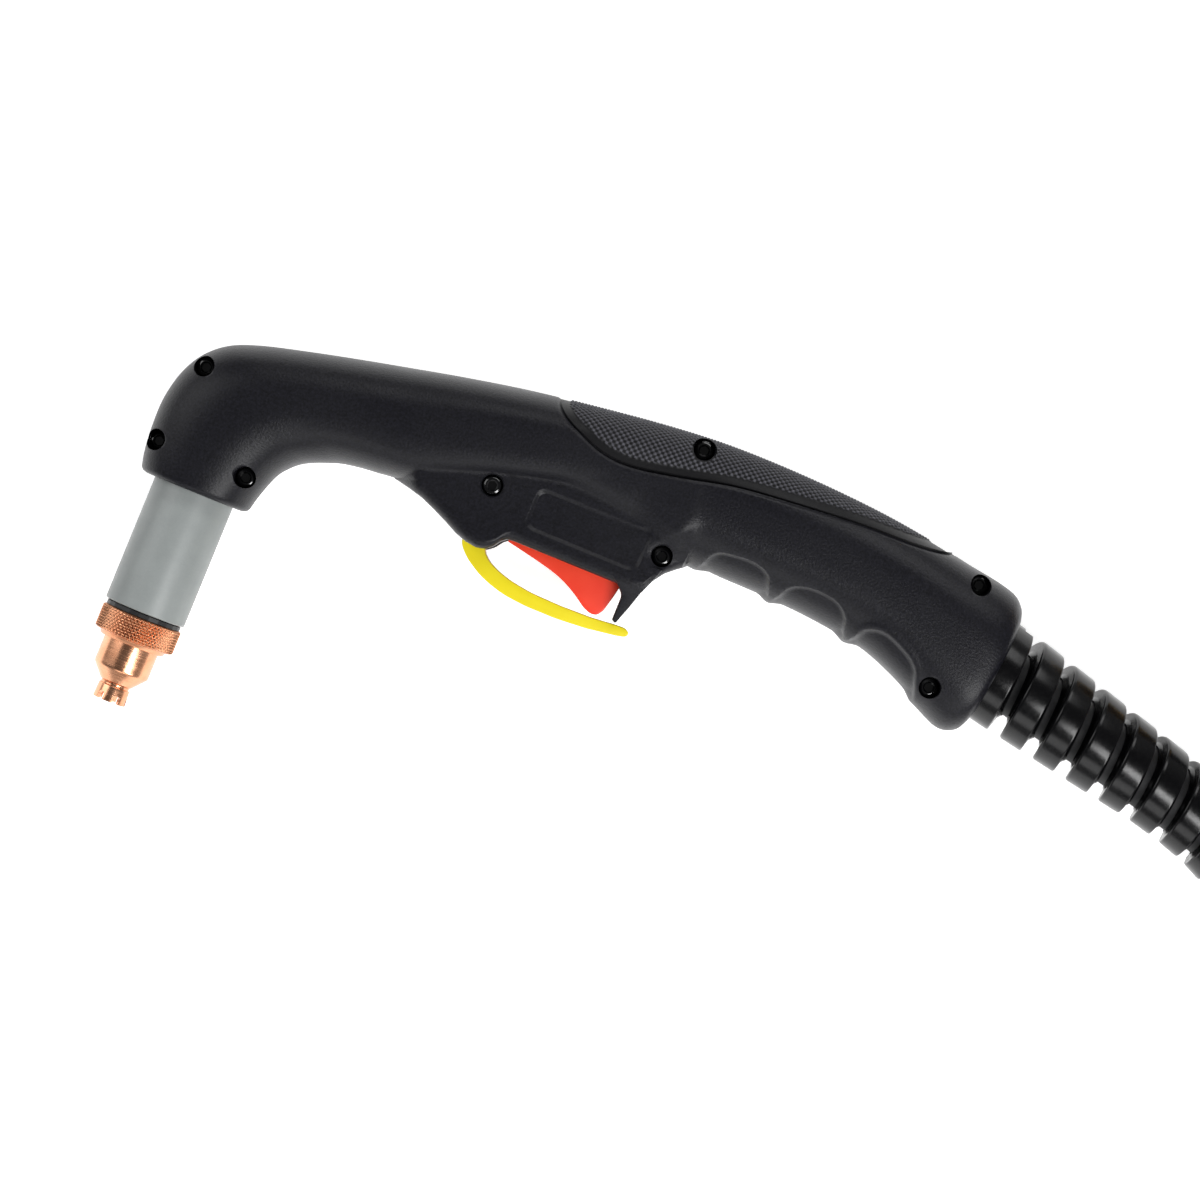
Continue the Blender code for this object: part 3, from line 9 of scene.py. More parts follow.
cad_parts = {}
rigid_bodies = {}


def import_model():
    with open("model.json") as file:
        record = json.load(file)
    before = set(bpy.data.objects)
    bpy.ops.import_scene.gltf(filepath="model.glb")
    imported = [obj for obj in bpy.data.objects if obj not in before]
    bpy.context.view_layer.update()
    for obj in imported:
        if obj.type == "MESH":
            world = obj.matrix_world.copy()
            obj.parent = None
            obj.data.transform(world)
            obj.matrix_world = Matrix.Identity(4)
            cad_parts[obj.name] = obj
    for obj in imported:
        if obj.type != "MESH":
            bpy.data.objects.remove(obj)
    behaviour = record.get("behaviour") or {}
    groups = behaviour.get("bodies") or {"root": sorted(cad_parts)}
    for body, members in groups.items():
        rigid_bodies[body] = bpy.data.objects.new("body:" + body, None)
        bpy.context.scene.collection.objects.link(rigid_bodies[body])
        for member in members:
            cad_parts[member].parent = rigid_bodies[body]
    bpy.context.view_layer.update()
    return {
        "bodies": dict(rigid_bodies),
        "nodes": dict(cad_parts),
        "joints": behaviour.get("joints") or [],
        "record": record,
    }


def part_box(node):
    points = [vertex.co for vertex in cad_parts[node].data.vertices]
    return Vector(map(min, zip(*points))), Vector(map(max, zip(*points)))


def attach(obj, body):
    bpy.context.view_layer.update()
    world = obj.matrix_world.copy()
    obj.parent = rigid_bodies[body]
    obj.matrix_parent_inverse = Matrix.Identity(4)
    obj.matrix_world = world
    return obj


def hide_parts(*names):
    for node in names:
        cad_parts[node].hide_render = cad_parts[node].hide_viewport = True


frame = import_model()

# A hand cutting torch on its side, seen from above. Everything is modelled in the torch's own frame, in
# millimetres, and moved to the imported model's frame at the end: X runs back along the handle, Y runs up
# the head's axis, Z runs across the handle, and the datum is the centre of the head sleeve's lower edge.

MM = 0.001
sleeve_low, sleeve_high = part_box("head_sleeve")
DATUM = Vector(((sleeve_low.x + sleeve_high.x) / 2, sleeve_low.y, (sleeve_low.z + sleeve_high.z) / 2))
TO_FRAME = Matrix.Translation(DATUM) @ Matrix.Scale(MM, 4)

# --- camera, floor and light ---------------------------------------------------------------------
PHOTO_SCALE = 3.9  # pixels of the photograph for each millimetre at the torch's middle plane
PHOTO_SIZE = 1200.0
PHOTO_TURN = math.radians(22.3)  # the head's axis against the photograph's upright
VIEW_MIDDLE = (106.8, 47.1)  # what the middle of the photograph shows, in the torch's frame
CAMERA_AWAY = 1000.0
SENSOR = 36.0
PAPER_LIFT = 0.75


def srgb(code):
    """A colour written as sRGB hex, turned to the linear values that a socket takes."""
    parts = [int(code[i:i + 2], 16) / 255 for i in (0, 2, 4)]
    return [v / 12.92 if v <= 0.04045 else ((v + 0.055) / 1.055) ** 2.4 for v in parts] + [1.0]


def to_frame(x, y, z=0.0):
    return TO_FRAME @ Vector((x, y, z))


def set_camera():
    data = bpy.data.cameras.new("camera")
    data.sensor_width = SENSOR
    data.lens = SENSOR * CAMERA_AWAY * PHOTO_SCALE / PHOTO_SIZE
    data.clip_start = 0.01
    camera = bpy.data.objects.new("camera", data)
    camera.location = to_frame(*VIEW_MIDDLE, CAMERA_AWAY)
    camera.rotation_euler = (0.0, 0.0, PHOTO_TURN)
    bpy.context.scene.collection.objects.link(camera)
    bpy.context.scene.camera = camera


def add_node(tree, kind, links=(), **settings):
    """Adds a node, sets its properties and sockets, and links its inputs: links is (input, output) pairs."""
    node = tree.nodes.new(kind)
    for name, value in settings.items():
        if name == "sockets":
            for socket, number in value.items():
                node.inputs[socket].default_value = number
        else:
            setattr(node, name, value)
    for socket, source in links:
        tree.links.new(source, node.inputs[socket])
    return node


def new_material(name):
    material = bpy.data.materials.new(name)
    material.use_nodes = True
    tree = material.node_tree
    return material, tree, tree.nodes["Principled BSDF"]


def stage_material():
    """White studio paper: lit paper with a lift for the camera and for mirrors, so that shadows stay soft."""
    material, tree, shader = new_material("white_paper")
    shader.inputs["Base Color"].default_value = srgb("f0f0f0")
    shader.inputs["Roughness"].default_value = 1.0
    shader.inputs["Specular IOR Level"].default_value = 0.0
    path = add_node(tree, "ShaderNodeLightPath")
    seen = path.outputs["Is Camera Ray"]
    for ray in ("Is Glossy Ray", "Is Transmission Ray"):
        seen = add_node(tree, "ShaderNodeMath", [(0, seen), (1, path.outputs[ray])], operation="MAXIMUM").outputs[0]
    lift = add_node(tree, "ShaderNodeMath", [(0, seen)], operation="MULTIPLY", sockets={1: PAPER_LIFT})
    shader.inputs["Emission Color"].default_value = (1.0, 1.0, 1.0, 1.0)
    tree.links.new(lift.outputs[0], shader.inputs["Emission Strength"])
    return material


def studio_world():
    """White walls round a dark ceiling: bright near the horizon and dim overhead."""
    world = bpy.data.worlds.new("studio")
    world.use_nodes = True
    tree = world.node_tree
    way = add_node(tree, "ShaderNodeTexCoord")
    split = add_node(tree, "ShaderNodeSeparateXYZ", [("Vector", way.outputs["Generated"])])
    level = add_node(tree, "ShaderNodeMapRange", [("Value", split.outputs["Z"])], sockets={
        "From Min": 0.0, "From Max": 0.75, "To Min": 0.42, "To Max": 0.10})
    tree.nodes["Background"].inputs["Color"].default_value = (1.0, 1.0, 1.0, 1.0)
    tree.links.new(level.outputs["Result"], tree.nodes["Background"].inputs["Strength"])
    return world


def set_stage():
    bpy.ops.mesh.primitive_plane_add(size=8.0, location=(0.0, 0.0, -0.0004))
    floor = bpy.context.object
    floor.name = "studio_floor"
    floor.data.materials.append(stage_material())
    bpy.context.scene.world = studio_world()
    lamps = (  # name, where from the torch's middle in metres, width, height, watts
        ("strip_right", (0.62, -0.40, 0.92), 0.30, 0.70, 10.0),
        ("panel_left", (-0.95, 0.15, 0.75), 0.60, 0.90, 4.0),
        ("panel_back", (0.10, 0.98, 0.80), 0.90, 0.50, 4.6),
        ("panel_front", (0.10, -1.00, 0.62), 0.90, 0.45, 3.0),
    )
    target = to_frame(96.0, 50.0)
    for name, away, width, height, power in lamps:
        data = bpy.data.lights.new(name, "AREA")
        data.shape = "RECTANGLE"
        data.size = width
        data.size_y = height
        data.energy = power
        lamp = bpy.data.objects.new(name, data)
        lamp.location = target + Vector(away)
        lamp.rotation_euler = (-Vector(away)).to_track_quat("-Z", "Y").to_euler()
        bpy.context.scene.collection.objects.link(lamp)


set_camera()
set_stage()
bpy.context.scene.view_settings.view_transform = "Standard"


# --- materials -----------------------------------------------------------------------------------
# Scales are per metre, because Object coordinates are in metres: 1000 / millimetres.
def object_place(tree, scale=(1.0, 1.0, 1.0), turn=(0.0, 0.0, 0.0)):
    """Object coordinates, turned and stretched."""
    place = add_node(tree, "ShaderNodeTexCoord")
    mapping = add_node(tree, "ShaderNodeMapping", [("Vector", place.outputs["Object"])])
    mapping.inputs["Scale"].default_value = scale
    mapping.inputs["Rotation"].default_value = turn
    return mapping.outputs["Vector"]


def noise(tree, place, grain_mm, detail=2.0, roughness=0.5):
    return add_node(tree, "ShaderNodeTexNoise", [("Vector", place)],
                    sockets={"Scale": 1000.0 / grain_mm, "Detail": detail, "Roughness": roughness}).outputs["Fac"]


def spread(tree, value, low, high, out_low=0.0, out_high=1.0):
    return add_node(tree, "ShaderNodeMapRange", [("Value", value)], sockets={
        "From Min": low, "From Max": high, "To Min": out_low, "To Max": out_high}).outputs["Result"]


def blend(tree, factor, first, second):
    mix = add_node(tree, "ShaderNodeMix", [("Factor", factor)], data_type="RGBA")
    mix.inputs["A"].default_value = first
    mix.inputs["B"].default_value = second
    return mix.outputs["Result"]


def bump(tree, shader, height, depth_mm, strength):
    node = add_node(tree, "ShaderNodeBump", [("Height", height)],
                    sockets={"Strength": strength, "Distance": depth_mm * MM})
    tree.links.new(node.outputs["Normal"], shader.inputs["Normal"])


def surface(name, tones, tone_noise, rough, rough_noise, relief=None, tone_span=(0.3, 0.7),
            rough_span=(0.3, 0.7), turn=0.0, sockets=None):
    """A material whose colour, roughness and relief each follow a noise. A noise is its grain in millimetres, its
    detail and its roughness; a span is the part of it that counts; relief is a noise, its depth and strength."""
    material, tree, shader = new_material(name)
    straight = object_place(tree)
    place = object_place(tree, turn=(0.0, 0.0, turn)) if turn else straight
    tone = spread(tree, noise(tree, place, *tone_noise), *tone_span)
    tree.links.new(blend(tree, tone, *map(srgb, tones)), shader.inputs["Base Color"])
    roughness = spread(tree, noise(tree, straight, *rough_noise), *rough_span, *rough)
    tree.links.new(roughness, shader.inputs["Roughness"])
    if relief:
        bump(tree, shader, noise(tree, place, *relief[0]), *relief[1:])
    for socket, value in (sockets or {}).items():
        shader.inputs[socket].default_value = value
    return material


def overmould_rubber():
    """Grip pads: thermoplastic rubber moulded over the shells. Duller than the nylon, with a painted highlight on the
    tops of its woven pips, which are coloured lighter than the black between them. The pips are geometry, and "pip"
    is their height."""
    material, tree, shader = new_material("thermoplastic_rubber_overmoulded")
    place = object_place(tree)
    grain = noise(tree, place, 0.25, 2.0)
    pip = add_node(tree, "ShaderNodeAttribute", attribute_name="pip").outputs["Fac"]
    # painted highlight: the colour goes lighter towards the tops of the pips
    pip_top_highlight = add_node(tree, "ShaderNodeMath", [(0, grain), (1, pip)], operation="MULTIPLY").outputs[0]
    colour = blend(tree, spread(tree, pip_top_highlight, 0.10, 0.55), srgb("08080b"), srgb("58585f"))
    tree.links.new(colour, shader.inputs["Base Color"])
    tree.links.new(spread(tree, grain, 0.3, 0.7, 0.42, 0.56), shader.inputs["Roughness"])
    shader.inputs["Specular IOR Level"].default_value = 0.26
    bump(tree, shader, grain, 0.03, 0.6)
    return material


def phenolic_grey():
    """Head sleeve: pressed grey phenolic, turned on the outside. Matte, mottled, with faint rings round it."""
    material, tree, shader = new_material("phenolic_grey_turned")
    place = object_place(tree)
    rings = noise(tree, object_place(tree, (0.05, 1.0, 0.05)), 0.55, 3.0)
    mottle = noise(tree, place, 7.0, 4.0, 0.6)
    fleck = noise(tree, place, 0.5, 2.0)
    base = blend(tree, spread(tree, mottle, 0.32, 0.68), srgb("8b908f"), srgb("929796"))
    mix = add_node(tree, "ShaderNodeMix", [("Factor", spread(tree, fleck, 0.45, 0.75, 0.0, 0.12)), ("A", base)],
                   data_type="RGBA")
    mix.inputs["B"].default_value = srgb("a2a7a6")
    tree.links.new(mix.outputs["Result"], shader.inputs["Base Color"])
    tree.links.new(spread(tree, rings, 0.3, 0.7, 0.34, 0.42), shader.inputs["Roughness"])
    bump(tree, shader, rings, 0.02, 0.5)
    return material


def copper(name, tone_low, tone_high, rough, cut=None):
    """Turned copper: bright, with fine tool rings round the axis and a slight tarnish in patches. Where the knurl is
    cut in, the attribute named by cut darkens it with painted shade in the grooves."""
    material, tree, shader = new_material(name)
    rings = noise(tree, object_place(tree, (0.04, 1.0, 0.04)), 0.30, 3.0)
    patch = noise(tree, object_place(tree), 4.5, 3.0)
    colour = blend(tree, spread(tree, patch, 0.3, 0.7), srgb(tone_low), srgb(tone_high))
    if cut:
        # painted shade: the knurl's grooves are coloured dark brown by their depth
        depth = add_node(tree, "ShaderNodeAttribute", attribute_name=cut).outputs["Fac"]
        mix = add_node(tree, "ShaderNodeMix", [("Factor", depth), ("A", colour)], data_type="RGBA")
        mix.inputs["B"].default_value = srgb("5e2f1c")
        colour = mix.outputs["Result"]
    tree.links.new(colour, shader.inputs["Base Color"])
    shader.inputs["Metallic"].default_value = 1.0
    tree.links.new(spread(tree, rings, 0.3, 0.7, rough, rough + 0.12), shader.inputs["Roughness"])
    bump(tree, shader, rings, 0.006, 0.3)
    return material


def moulded_colour(name, dark, light, roughness):
    """Trigger and lever: self-coloured acetal, moulded in a satin tool. The colour is even, with a soft sheen
    and a very fine grain."""
    return surface(name, (dark, light), (9.0, 2.0), (roughness, roughness + 0.08), (0.22, 2.0),
                   relief=((0.22, 2.0), 0.01, 0.4), sockets={"IOR": 1.48})


def plain_plastic(name, dark, light, roughness):
    """A plain moulding or insulation, with a slight change of tone and a faint grain."""
    return surface(name, (dark, light), (5.0, 2.0), (roughness, roughness + 0.1), (0.4, 2.0),
                   relief=((0.4, 2.0), 0.01, 0.3), tone_span=WHOLE)


WHOLE = (0.0, 1.0)
SPECULAR = "Specular IOR Level"
METAL = {"Metallic": 1.0}

# Handle shells: glass-filled nylon, moulded in a spark-eroded tool. A fine even grain of about 0.6 mm breaks up
# the light, and the black is a little blue.
NYLON = surface("glass_filled_nylon_grained", ("08080c", "191920"), (0.60, 3.0, 0.6), (0.34, 0.42), (28.0, 2.0),
                relief=((0.60, 3.0, 0.6), 0.11, 0.8), sockets={"IOR": 1.50, SPECULAR: 0.24})
RUBBER = overmould_rubber()
# Socket screws: steel, blacked and oiled, so it is a dark, clean mirror with a slight waviness.
OXIDE = surface("steel_black_oxide_oiled", ("030304", "08080a"), (1.6,), (0.10, 0.16), (1.6,), tone_span=WHOLE,
                sockets={"Coat Weight": 0.4, "Coat Roughness": 0.08})
PHENOLIC = phenolic_grey()
CAP_COPPER = copper("copper_knurled", "d6906a", "e4a680", 0.22, "cut")
NOZZLE_COPPER = copper("copper_turned", "dc9a74", "ebb08c", 0.18)
# The clamp, the connector's nut and pins: turned brass with fine rings, slightly dulled.
BRASS = surface("brass_turned", ("b08a3e", "c9a558"), (5.0, 3.0), (0.24, 0.38), (0.35, 2.0), tone_span=WHOLE,
                sockets=METAL)
RED = moulded_colour("acetal_red_satin", "f83c22", "ff482c", 0.34)
YELLOW = moulded_colour("acetal_yellow_satin", "ecd90c", "f2df16", 0.38)
# Bend guard and boot: soft black vinyl from a polished tool. Glossy, with long faint flow waves.
VINYL = surface("vinyl_black_polished", ("030304", "070709"), (4.5, 2.0), (0.19, 0.27), (0.9, 3.0),
                relief=((4.5, 2.0), 0.05, 0.3), tone_span=WHOLE, rough_span=(0.35, 0.75), sockets={SPECULAR: 0.30})
# Lead: black chloroprene over wrapped cores. Matte, with a faint cloth print pressed in by its wrapping.
JACKET = surface("chloroprene_jacket_matte", ("08080a", "151519"), (0.5, 4.0, 0.65), (0.52, 0.66), (6.0, 2.0),
                 relief=((0.5, 4.0, 0.65), 0.05, 0.5), turn=math.radians(35), sockets={SPECULAR: 0.35})
# Pins and springs: bright drawn steel wire, with fine lines from drawing.
STEEL = surface("steel_drawn", ("8d8f92", "b3b5b8"), (0.3, 2.0), (0.22, 0.36), (0.3, 2.0), tone_span=WHOLE,
                sockets=METAL)
# Ties: hook and loop strap, woven nylon with a fuzzy face of about 0.6 mm loops.
STRAP = surface("nylon_hook_and_loop", ("0d0d0f", "2b2b30"), (0.6, 4.0, 0.7), (0.80, 0.98), (0.6, 4.0, 0.7),
                relief=((0.6, 4.0, 0.7), 0.3, 0.8), sockets={"Sheen Weight": 0.4})
BLACK_MOULDING = plain_plastic("phenolic_black", "0c0c0d", "161618", 0.40)
SEAL = plain_plastic("nitrile_rubber_black", "0a0a0a", "131313", 0.45)
SWIRL = plain_plastic("polyimide_brown", "6b4a2c", "82603c", 0.50)
INSERT = plain_plastic("phenolic_brown", "4a2f1e", "5d3d28", 0.42)
SWITCH = plain_plastic("polyester_black", "121214", "1c1c1f", 0.42)
WHITE_BUTTON = plain_plastic("acetal_white", "d8d6cc", "e6e4da", 0.35)
INSULATION = plain_plastic("silicone_insulation", "b9b6a8", "c8c5b8", 0.45)
RED_HOSE = plain_plastic("hose_red_braided", "6e1d18", "842620", 0.50)

for nodes, material in (
    (("head_neck", "head_moulding"), BLACK_MOULDING), (("anode_body", "cathode_body", "cable_clamp"), BRASS),
    (("electrode",), NOZZLE_COPPER), (("swirl_ring",), SWIRL), (("o_ring",), SEAL),
    (("trigger_pin", "lever_pin", "trigger_spring", "lever_spring"), STEEL), (("switch_case",), SWITCH),
    (("switch_plunger",), WHITE_BUTTON), (("switch_lead_1", "switch_lead_2", "pilot_wire"), INSULATION),
    (("gas_power_tube",), RED_HOSE),
):
    for node in nodes:
        mesh = frame["nodes"][node].data
        mesh.materials.clear()
        mesh.materials.append(material)


# --- making meshes --------------------------------------------------------------------------------
def piece(name, mesh, body, material, slot, *replaced, sharp=32.0):
    """A finished piece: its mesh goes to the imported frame, and it rides on a body and stands for CAD nodes."""
    mesh.transform(TO_FRAME)
    mesh.materials.clear()
    mesh.materials.append(material)
    mesh.shade_smooth()
    mesh.set_sharp_from_angle(angle=math.radians(sharp))
    obj = bpy.data.objects.new(name, mesh)
    bpy.context.scene.collection.objects.link(obj)
    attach(obj, body)
    if replaced:
        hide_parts(*replaced)
    return obj


def to_mesh(bm, name="shape"):
    bmesh.ops.recalc_face_normals(bm, faces=bm.faces)
    if bm.calc_volume(signed=True) < 0:
        bmesh.ops.reverse_faces(bm, faces=bm.faces)
    mesh = bpy.data.meshes.new(name)
    bm.to_mesh(mesh)
    bm.free()
    return mesh


def combined(first, *others, operation="DIFFERENCE", folded=False):
    """The first mesh with the others cut out of it, joined to it, or kept in common with it. A mesh whose
    surface touches itself is folded."""
    main = bpy.data.objects.new("main", first)
    bpy.context.scene.collection.objects.link(main)
    tools = bpy.data.collections.new("tools")
    bpy.context.scene.collection.children.link(tools)
    for other in others:
        tools.objects.link(bpy.data.objects.new("tool", other))
    modifier = main.modifiers.new("combine", "BOOLEAN")
    modifier.operation = operation
    modifier.operand_type = "COLLECTION"
    modifier.collection = tools
    modifier.solver = "EXACT"
    modifier.use_self = folded
    bpy.context.view_layer.update()
    graph = bpy.context.evaluated_depsgraph_get()
    mesh = bpy.data.meshes.new_from_object(main.evaluated_get(graph), depsgraph=graph)
    for obj in [main] + list(tools.objects):
        bpy.data.objects.remove(obj)
    bpy.data.collections.remove(tools)
    return mesh


def together(*meshes):
    """Several separate solids as one mesh."""
    bm = bmesh.new()
    for mesh in meshes:
        bm.from_mesh(mesh)
    return to_mesh(bm)


SMOOTH = 30.0  # a corner radius past what fits: the outline runs in one sweep


def rounded(outline):
    """A closed outline of (x, y, corner radius) points, with each corner turned into an arc. Where the radius is
    left out, the outline runs through in one sweep."""
    points = [Vector(p[:2]) for p in outline]
    found = []
    for index, (x, y, *given) in enumerate(outline):
        radius = given[0] if given else SMOOTH
        here, before, after = Vector((x, y)), points[index - 1], points[(index + 1) % len(points)]
        back, on = (before - here).normalized(), (after - here).normalized()
        angle = back.angle(on)
        if radius <= 0.0 or angle > math.radians(176):
            found.append(here)
            continue
        reach = min(radius / math.tan(angle / 2), 0.48 * (before - here).length, 0.48 * (after - here).length)
        start, end = here + back * reach, here + on * reach
        steps = max(3, round((math.pi - angle) / math.radians(12)))
        for step in range(steps + 1):
            t = step / steps
            found.append((1 - t) ** 2 * start + 2 * t * (1 - t) * here + t ** 2 * end)
    return found


def between(a, b, c, d, t):
    """The smooth curve from b to c that heads as its neighbours a and d say."""
    return 0.5 * (2 * b + (c - a) * t + (2 * a - 5 * b + 4 * c - d) * t ** 2 + (3 * b - a - 3 * c + d) * t ** 3)


def curved(points, steps=6):
    """A smooth closed line through points."""
    points = [Vector(p) for p in points]
    turned_on = [points[k:] + points[:k] for k in (-1, 0, 1, 2)]
    return [between(*corners, step / steps) for corners in zip(*turned_on) for step in range(steps)]


def plate(outline, half, middle=0.0, edge=0.0, segments=3):
    """A flat outline thickened across the handle, with round rims."""
    bm = bmesh.new()
    face = bm.faces.new([bm.verts.new((p[0], p[1], middle - half)) for p in outline])
    grown = bmesh.ops.extrude_face_region(bm, geom=[face])
    top = [v for v in grown["geom"] if isinstance(v, bmesh.types.BMVert)]
    bmesh.ops.translate(bm, vec=(0, 0, 2 * half), verts=top)
    if edge:
        rim = [e for e in bm.edges if abs(e.verts[0].co.z - e.verts[1].co.z) < 1e-6]
        bmesh.ops.bevel(bm, geom=rim, offset=edge, offset_type="OFFSET", segments=segments, profile=0.5,
                        affect="EDGES", clamp_overlap=True, material=-1)
    return to_mesh(bm)


def turned(profile, steps=96, frame=Matrix.Identity(4)):
    """A closed or axis-to-axis profile of (radius, height) pairs, spun about the frame's Z."""
    bm = bmesh.new()
    verts = [bm.verts.new((radius, 0.0, height)) for radius, height in profile]
    edges = [bm.edges.new(pair) for pair in zip(verts, verts[1:])]
    if profile[0][0] > 1e-6:
        edges.append(bm.edges.new((verts[-1], verts[0])))
    bmesh.ops.spin(bm, geom=verts + edges, cent=(0, 0, 0), axis=(0, 0, 1), angle=math.tau, steps=steps,
                   use_merge=True)
    bmesh.ops.remove_doubles(bm, verts=bm.verts, dist=1e-4)
    bmesh.ops.transform(bm, matrix=frame, verts=bm.verts)
    return to_mesh(bm)


def rod(start, end, radius, steps=48, end_radius=None):
    start, end = Vector(start), Vector(end)
    along = end - start
    turn = along.to_track_quat("Z", "Y").to_matrix().to_4x4()
    bm = bmesh.new()
    bmesh.ops.create_cone(bm, cap_ends=True, segments=steps, radius1=radius,
                          radius2=radius if end_radius is None else end_radius, depth=along.length,
                          matrix=Matrix.Translation((start + end) / 2) @ turn)
    return to_mesh(bm)


def block(low, high):
    low, high = Vector(low), Vector(high)
    bm = bmesh.new()
    bmesh.ops.create_cube(bm, size=1.0)
    bmesh.ops.scale(bm, vec=high - low, verts=bm.verts)
    bmesh.ops.translate(bm, vec=(low + high) / 2, verts=bm.verts)
    return to_mesh(bm)


HEAD = Matrix.Rotation(math.radians(-90), 4, "X")  # local +Z runs up the head's axis


# --- lead: route, coil and guard ------------------------------------------------------------------
LEAD_R = 8.0
LEAD_LIFT = 1.6
HANDLE_HALF = 17.5
LEAD_AXIS_POINT = (211.1, 67.8)
LEAD_ANGLE = math.radians(-12.9)
LEAD_START = -22.0
LEAD_ROUTE = (  # the same points as the solid's, in millimetres
    (189.655, 72.712, 0.0), (206.226, 68.916, 0.0), (222.8, 65.1, -0.1), (240.3, 61.1, -0.6),
    (259.0, 56.8, -1.8), (276.0, 51.6, -3.3), (290.7, 43.7, -4.9), (303.0, 33.9, -6.2), (317.2, 18.8, -7.9),
)
COIL_ENTRY = (326.4, 5.7)
COIL_ENTRY_ANGLE = math.radians(215.0)
COIL_EXIT_ANGLE = math.radians(90.0)
COIL_WHOLE_TURNS = 5
COIL_INNER_R = 66.0
COIL_STEP = 2 * LEAD_R + 0.7
COIL_TURN_POINTS = 72
TAIL_ROUTE = (
    (0.0, 0.0, 0.0), (12.0, 0.1, -0.4), (24.0, 1.2, -2.4), (36.0, 3.6, -5.2), (46.0, 6.4, -6.9),
    (57.0, 9.8, -7.25), (70.0, 13.9, -7.25), (83.0, 18.0, -7.25),
)


def smooth_route(points, count):
    """Evenly spaced points on a smooth curve through the given ones."""
    points = [Vector(p) for p in points]
    points = [2 * points[0] - points[1]] + points + [2 * points[-1] - points[-2]]
    dense = []
    for corners in zip(points, points[1:], points[2:], points[3:]):
        dense += [between(*corners, step / 24) for step in range(24)]
    dense.append(points[-2])
    total = lengths_along(dense)
    found = []
    for index in range(count):
        wanted = total[-1] * index / (count - 1)
        i = max(k for k in range(len(dense) - 1) if total[k] <= wanted + 1e-9)
        found.append(dense[i].lerp(dense[i + 1], (wanted - total[i]) / (total[i + 1] - total[i])))
    return found


def lengths_along(points):
    total = [0.0]
    for first, second in zip(points, points[1:]):
        total.append(total[-1] + (second - first).length)
    return total


def coil_line():
    """The coil's centre line: in on the floor, up through a half turn, and out on top."""
    entry = Vector((*COIL_ENTRY, 0.0))
    sweep = COIL_EXIT_ANGLE - COIL_ENTRY_ANGLE + math.tau * (COIL_WHOLE_TURNS + 1)
    half = sweep / 2
    outer = COIL_INNER_R + COIL_STEP * half / math.tau
    rest = -HANDLE_HALF + LEAD_R + LEAD_LIFT
    way = Vector((math.cos(COIL_ENTRY_ANGLE), math.sin(COIL_ENTRY_ANGLE), 0.0))
    middle = entry - way * outer
    count = round(sweep / math.tau * COIL_TURN_POINTS)
    line = []
    for index in range(count + 1):
        swept = sweep * index / count
        radius = COIL_INNER_R + COIL_STEP * abs(swept - half) / math.tau
        climb = min(max((swept - half) / math.pi + 0.5, 0.0), 1.0)
        height = rest + COIL_STEP * (1 - math.cos(math.pi * climb)) / 2
        angle = COIL_ENTRY_ANGLE + swept
        line.append(Vector((middle.x + radius * math.cos(angle), middle.y + radius * math.sin(angle), height)))
    heading_out = Vector((-math.sin(COIL_EXIT_ANGLE), math.cos(COIL_EXIT_ANGLE), 0.0))
    heading_in = Vector((-way.y, way.x, 0.0))
    line = [line[0] - heading_in * 2 * LEAD_R] + line + [line[-1] + heading_out * 2 * LEAD_R]
    return line, middle, heading_out


def build_lead():
    """The whole lead as one tube: free stretch, coil and tail."""
    coil, middle, heading_out = coil_line()
    free = smooth_route(LEAD_ROUTE, 60)
    across = Vector((-heading_out.y, heading_out.x, 0.0))
    tail = [coil[-1] + heading_out * a + across * c + Vector((0, 0, h)) for a, c, h in TAIL_ROUTE]
    tail = smooth_route(tail, 34)
    route = free[:-1] + coil + tail[1:]
    curve = bpy.data.curves.new("lead", "CURVE")
    curve.dimensions = "3D"
    curve.bevel_depth = LEAD_R * MM
    curve.bevel_resolution = 8
    curve.use_fill_caps = True
    spline = curve.splines.new("POLY")
    spline.points.add(len(route) - 1)
    for point, spot in zip(spline.points, route):
        point.co = (*(TO_FRAME @ spot), 1.0)
    spline.use_smooth = True
    curve.materials.append(JACKET)
    lead = bpy.data.objects.new("lead", curve)
    bpy.context.scene.collection.objects.link(lead)
    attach(lead, "handle")
    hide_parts("cable", "cable_coil", "cable_end")
    heading = (tail[-1] - tail[-2]).normalized()
    return lead, route, middle, tail[-1], heading


GUARD_BORE_R = LEAD_R + 0.4
GUARD_COLLAR_R = 13.5
GUARD_FLANGE_R = 14.9
GUARD_FLANGE = (-13.0, -9.4)
GUARD_COLLAR_OUT = -3.2
GUARD_PITCH = 10.0
GUARD_BAND = 6.6
GUARD_FOOT = 0.8  # the band widens to each side by this much at its foot
GUARD_R_START = 13.6
GUARD_R_END = 11.3
GUARD_TAPER_END = 50.0
GUARD_TOP_AT = 5.0
GUARD_HELIX = (-4.4, 94.0)
GUARD_STEPS = 64
GUARD_RIMS = (1.1, 0.6)  # edge radii of the band, on the handle's side and on the other


def guard_radius(along):
    share = min(max(along / GUARD_TAPER_END, 0.0), 1.0)
    return GUARD_R_START + (GUARD_R_END - GUARD_R_START) * share


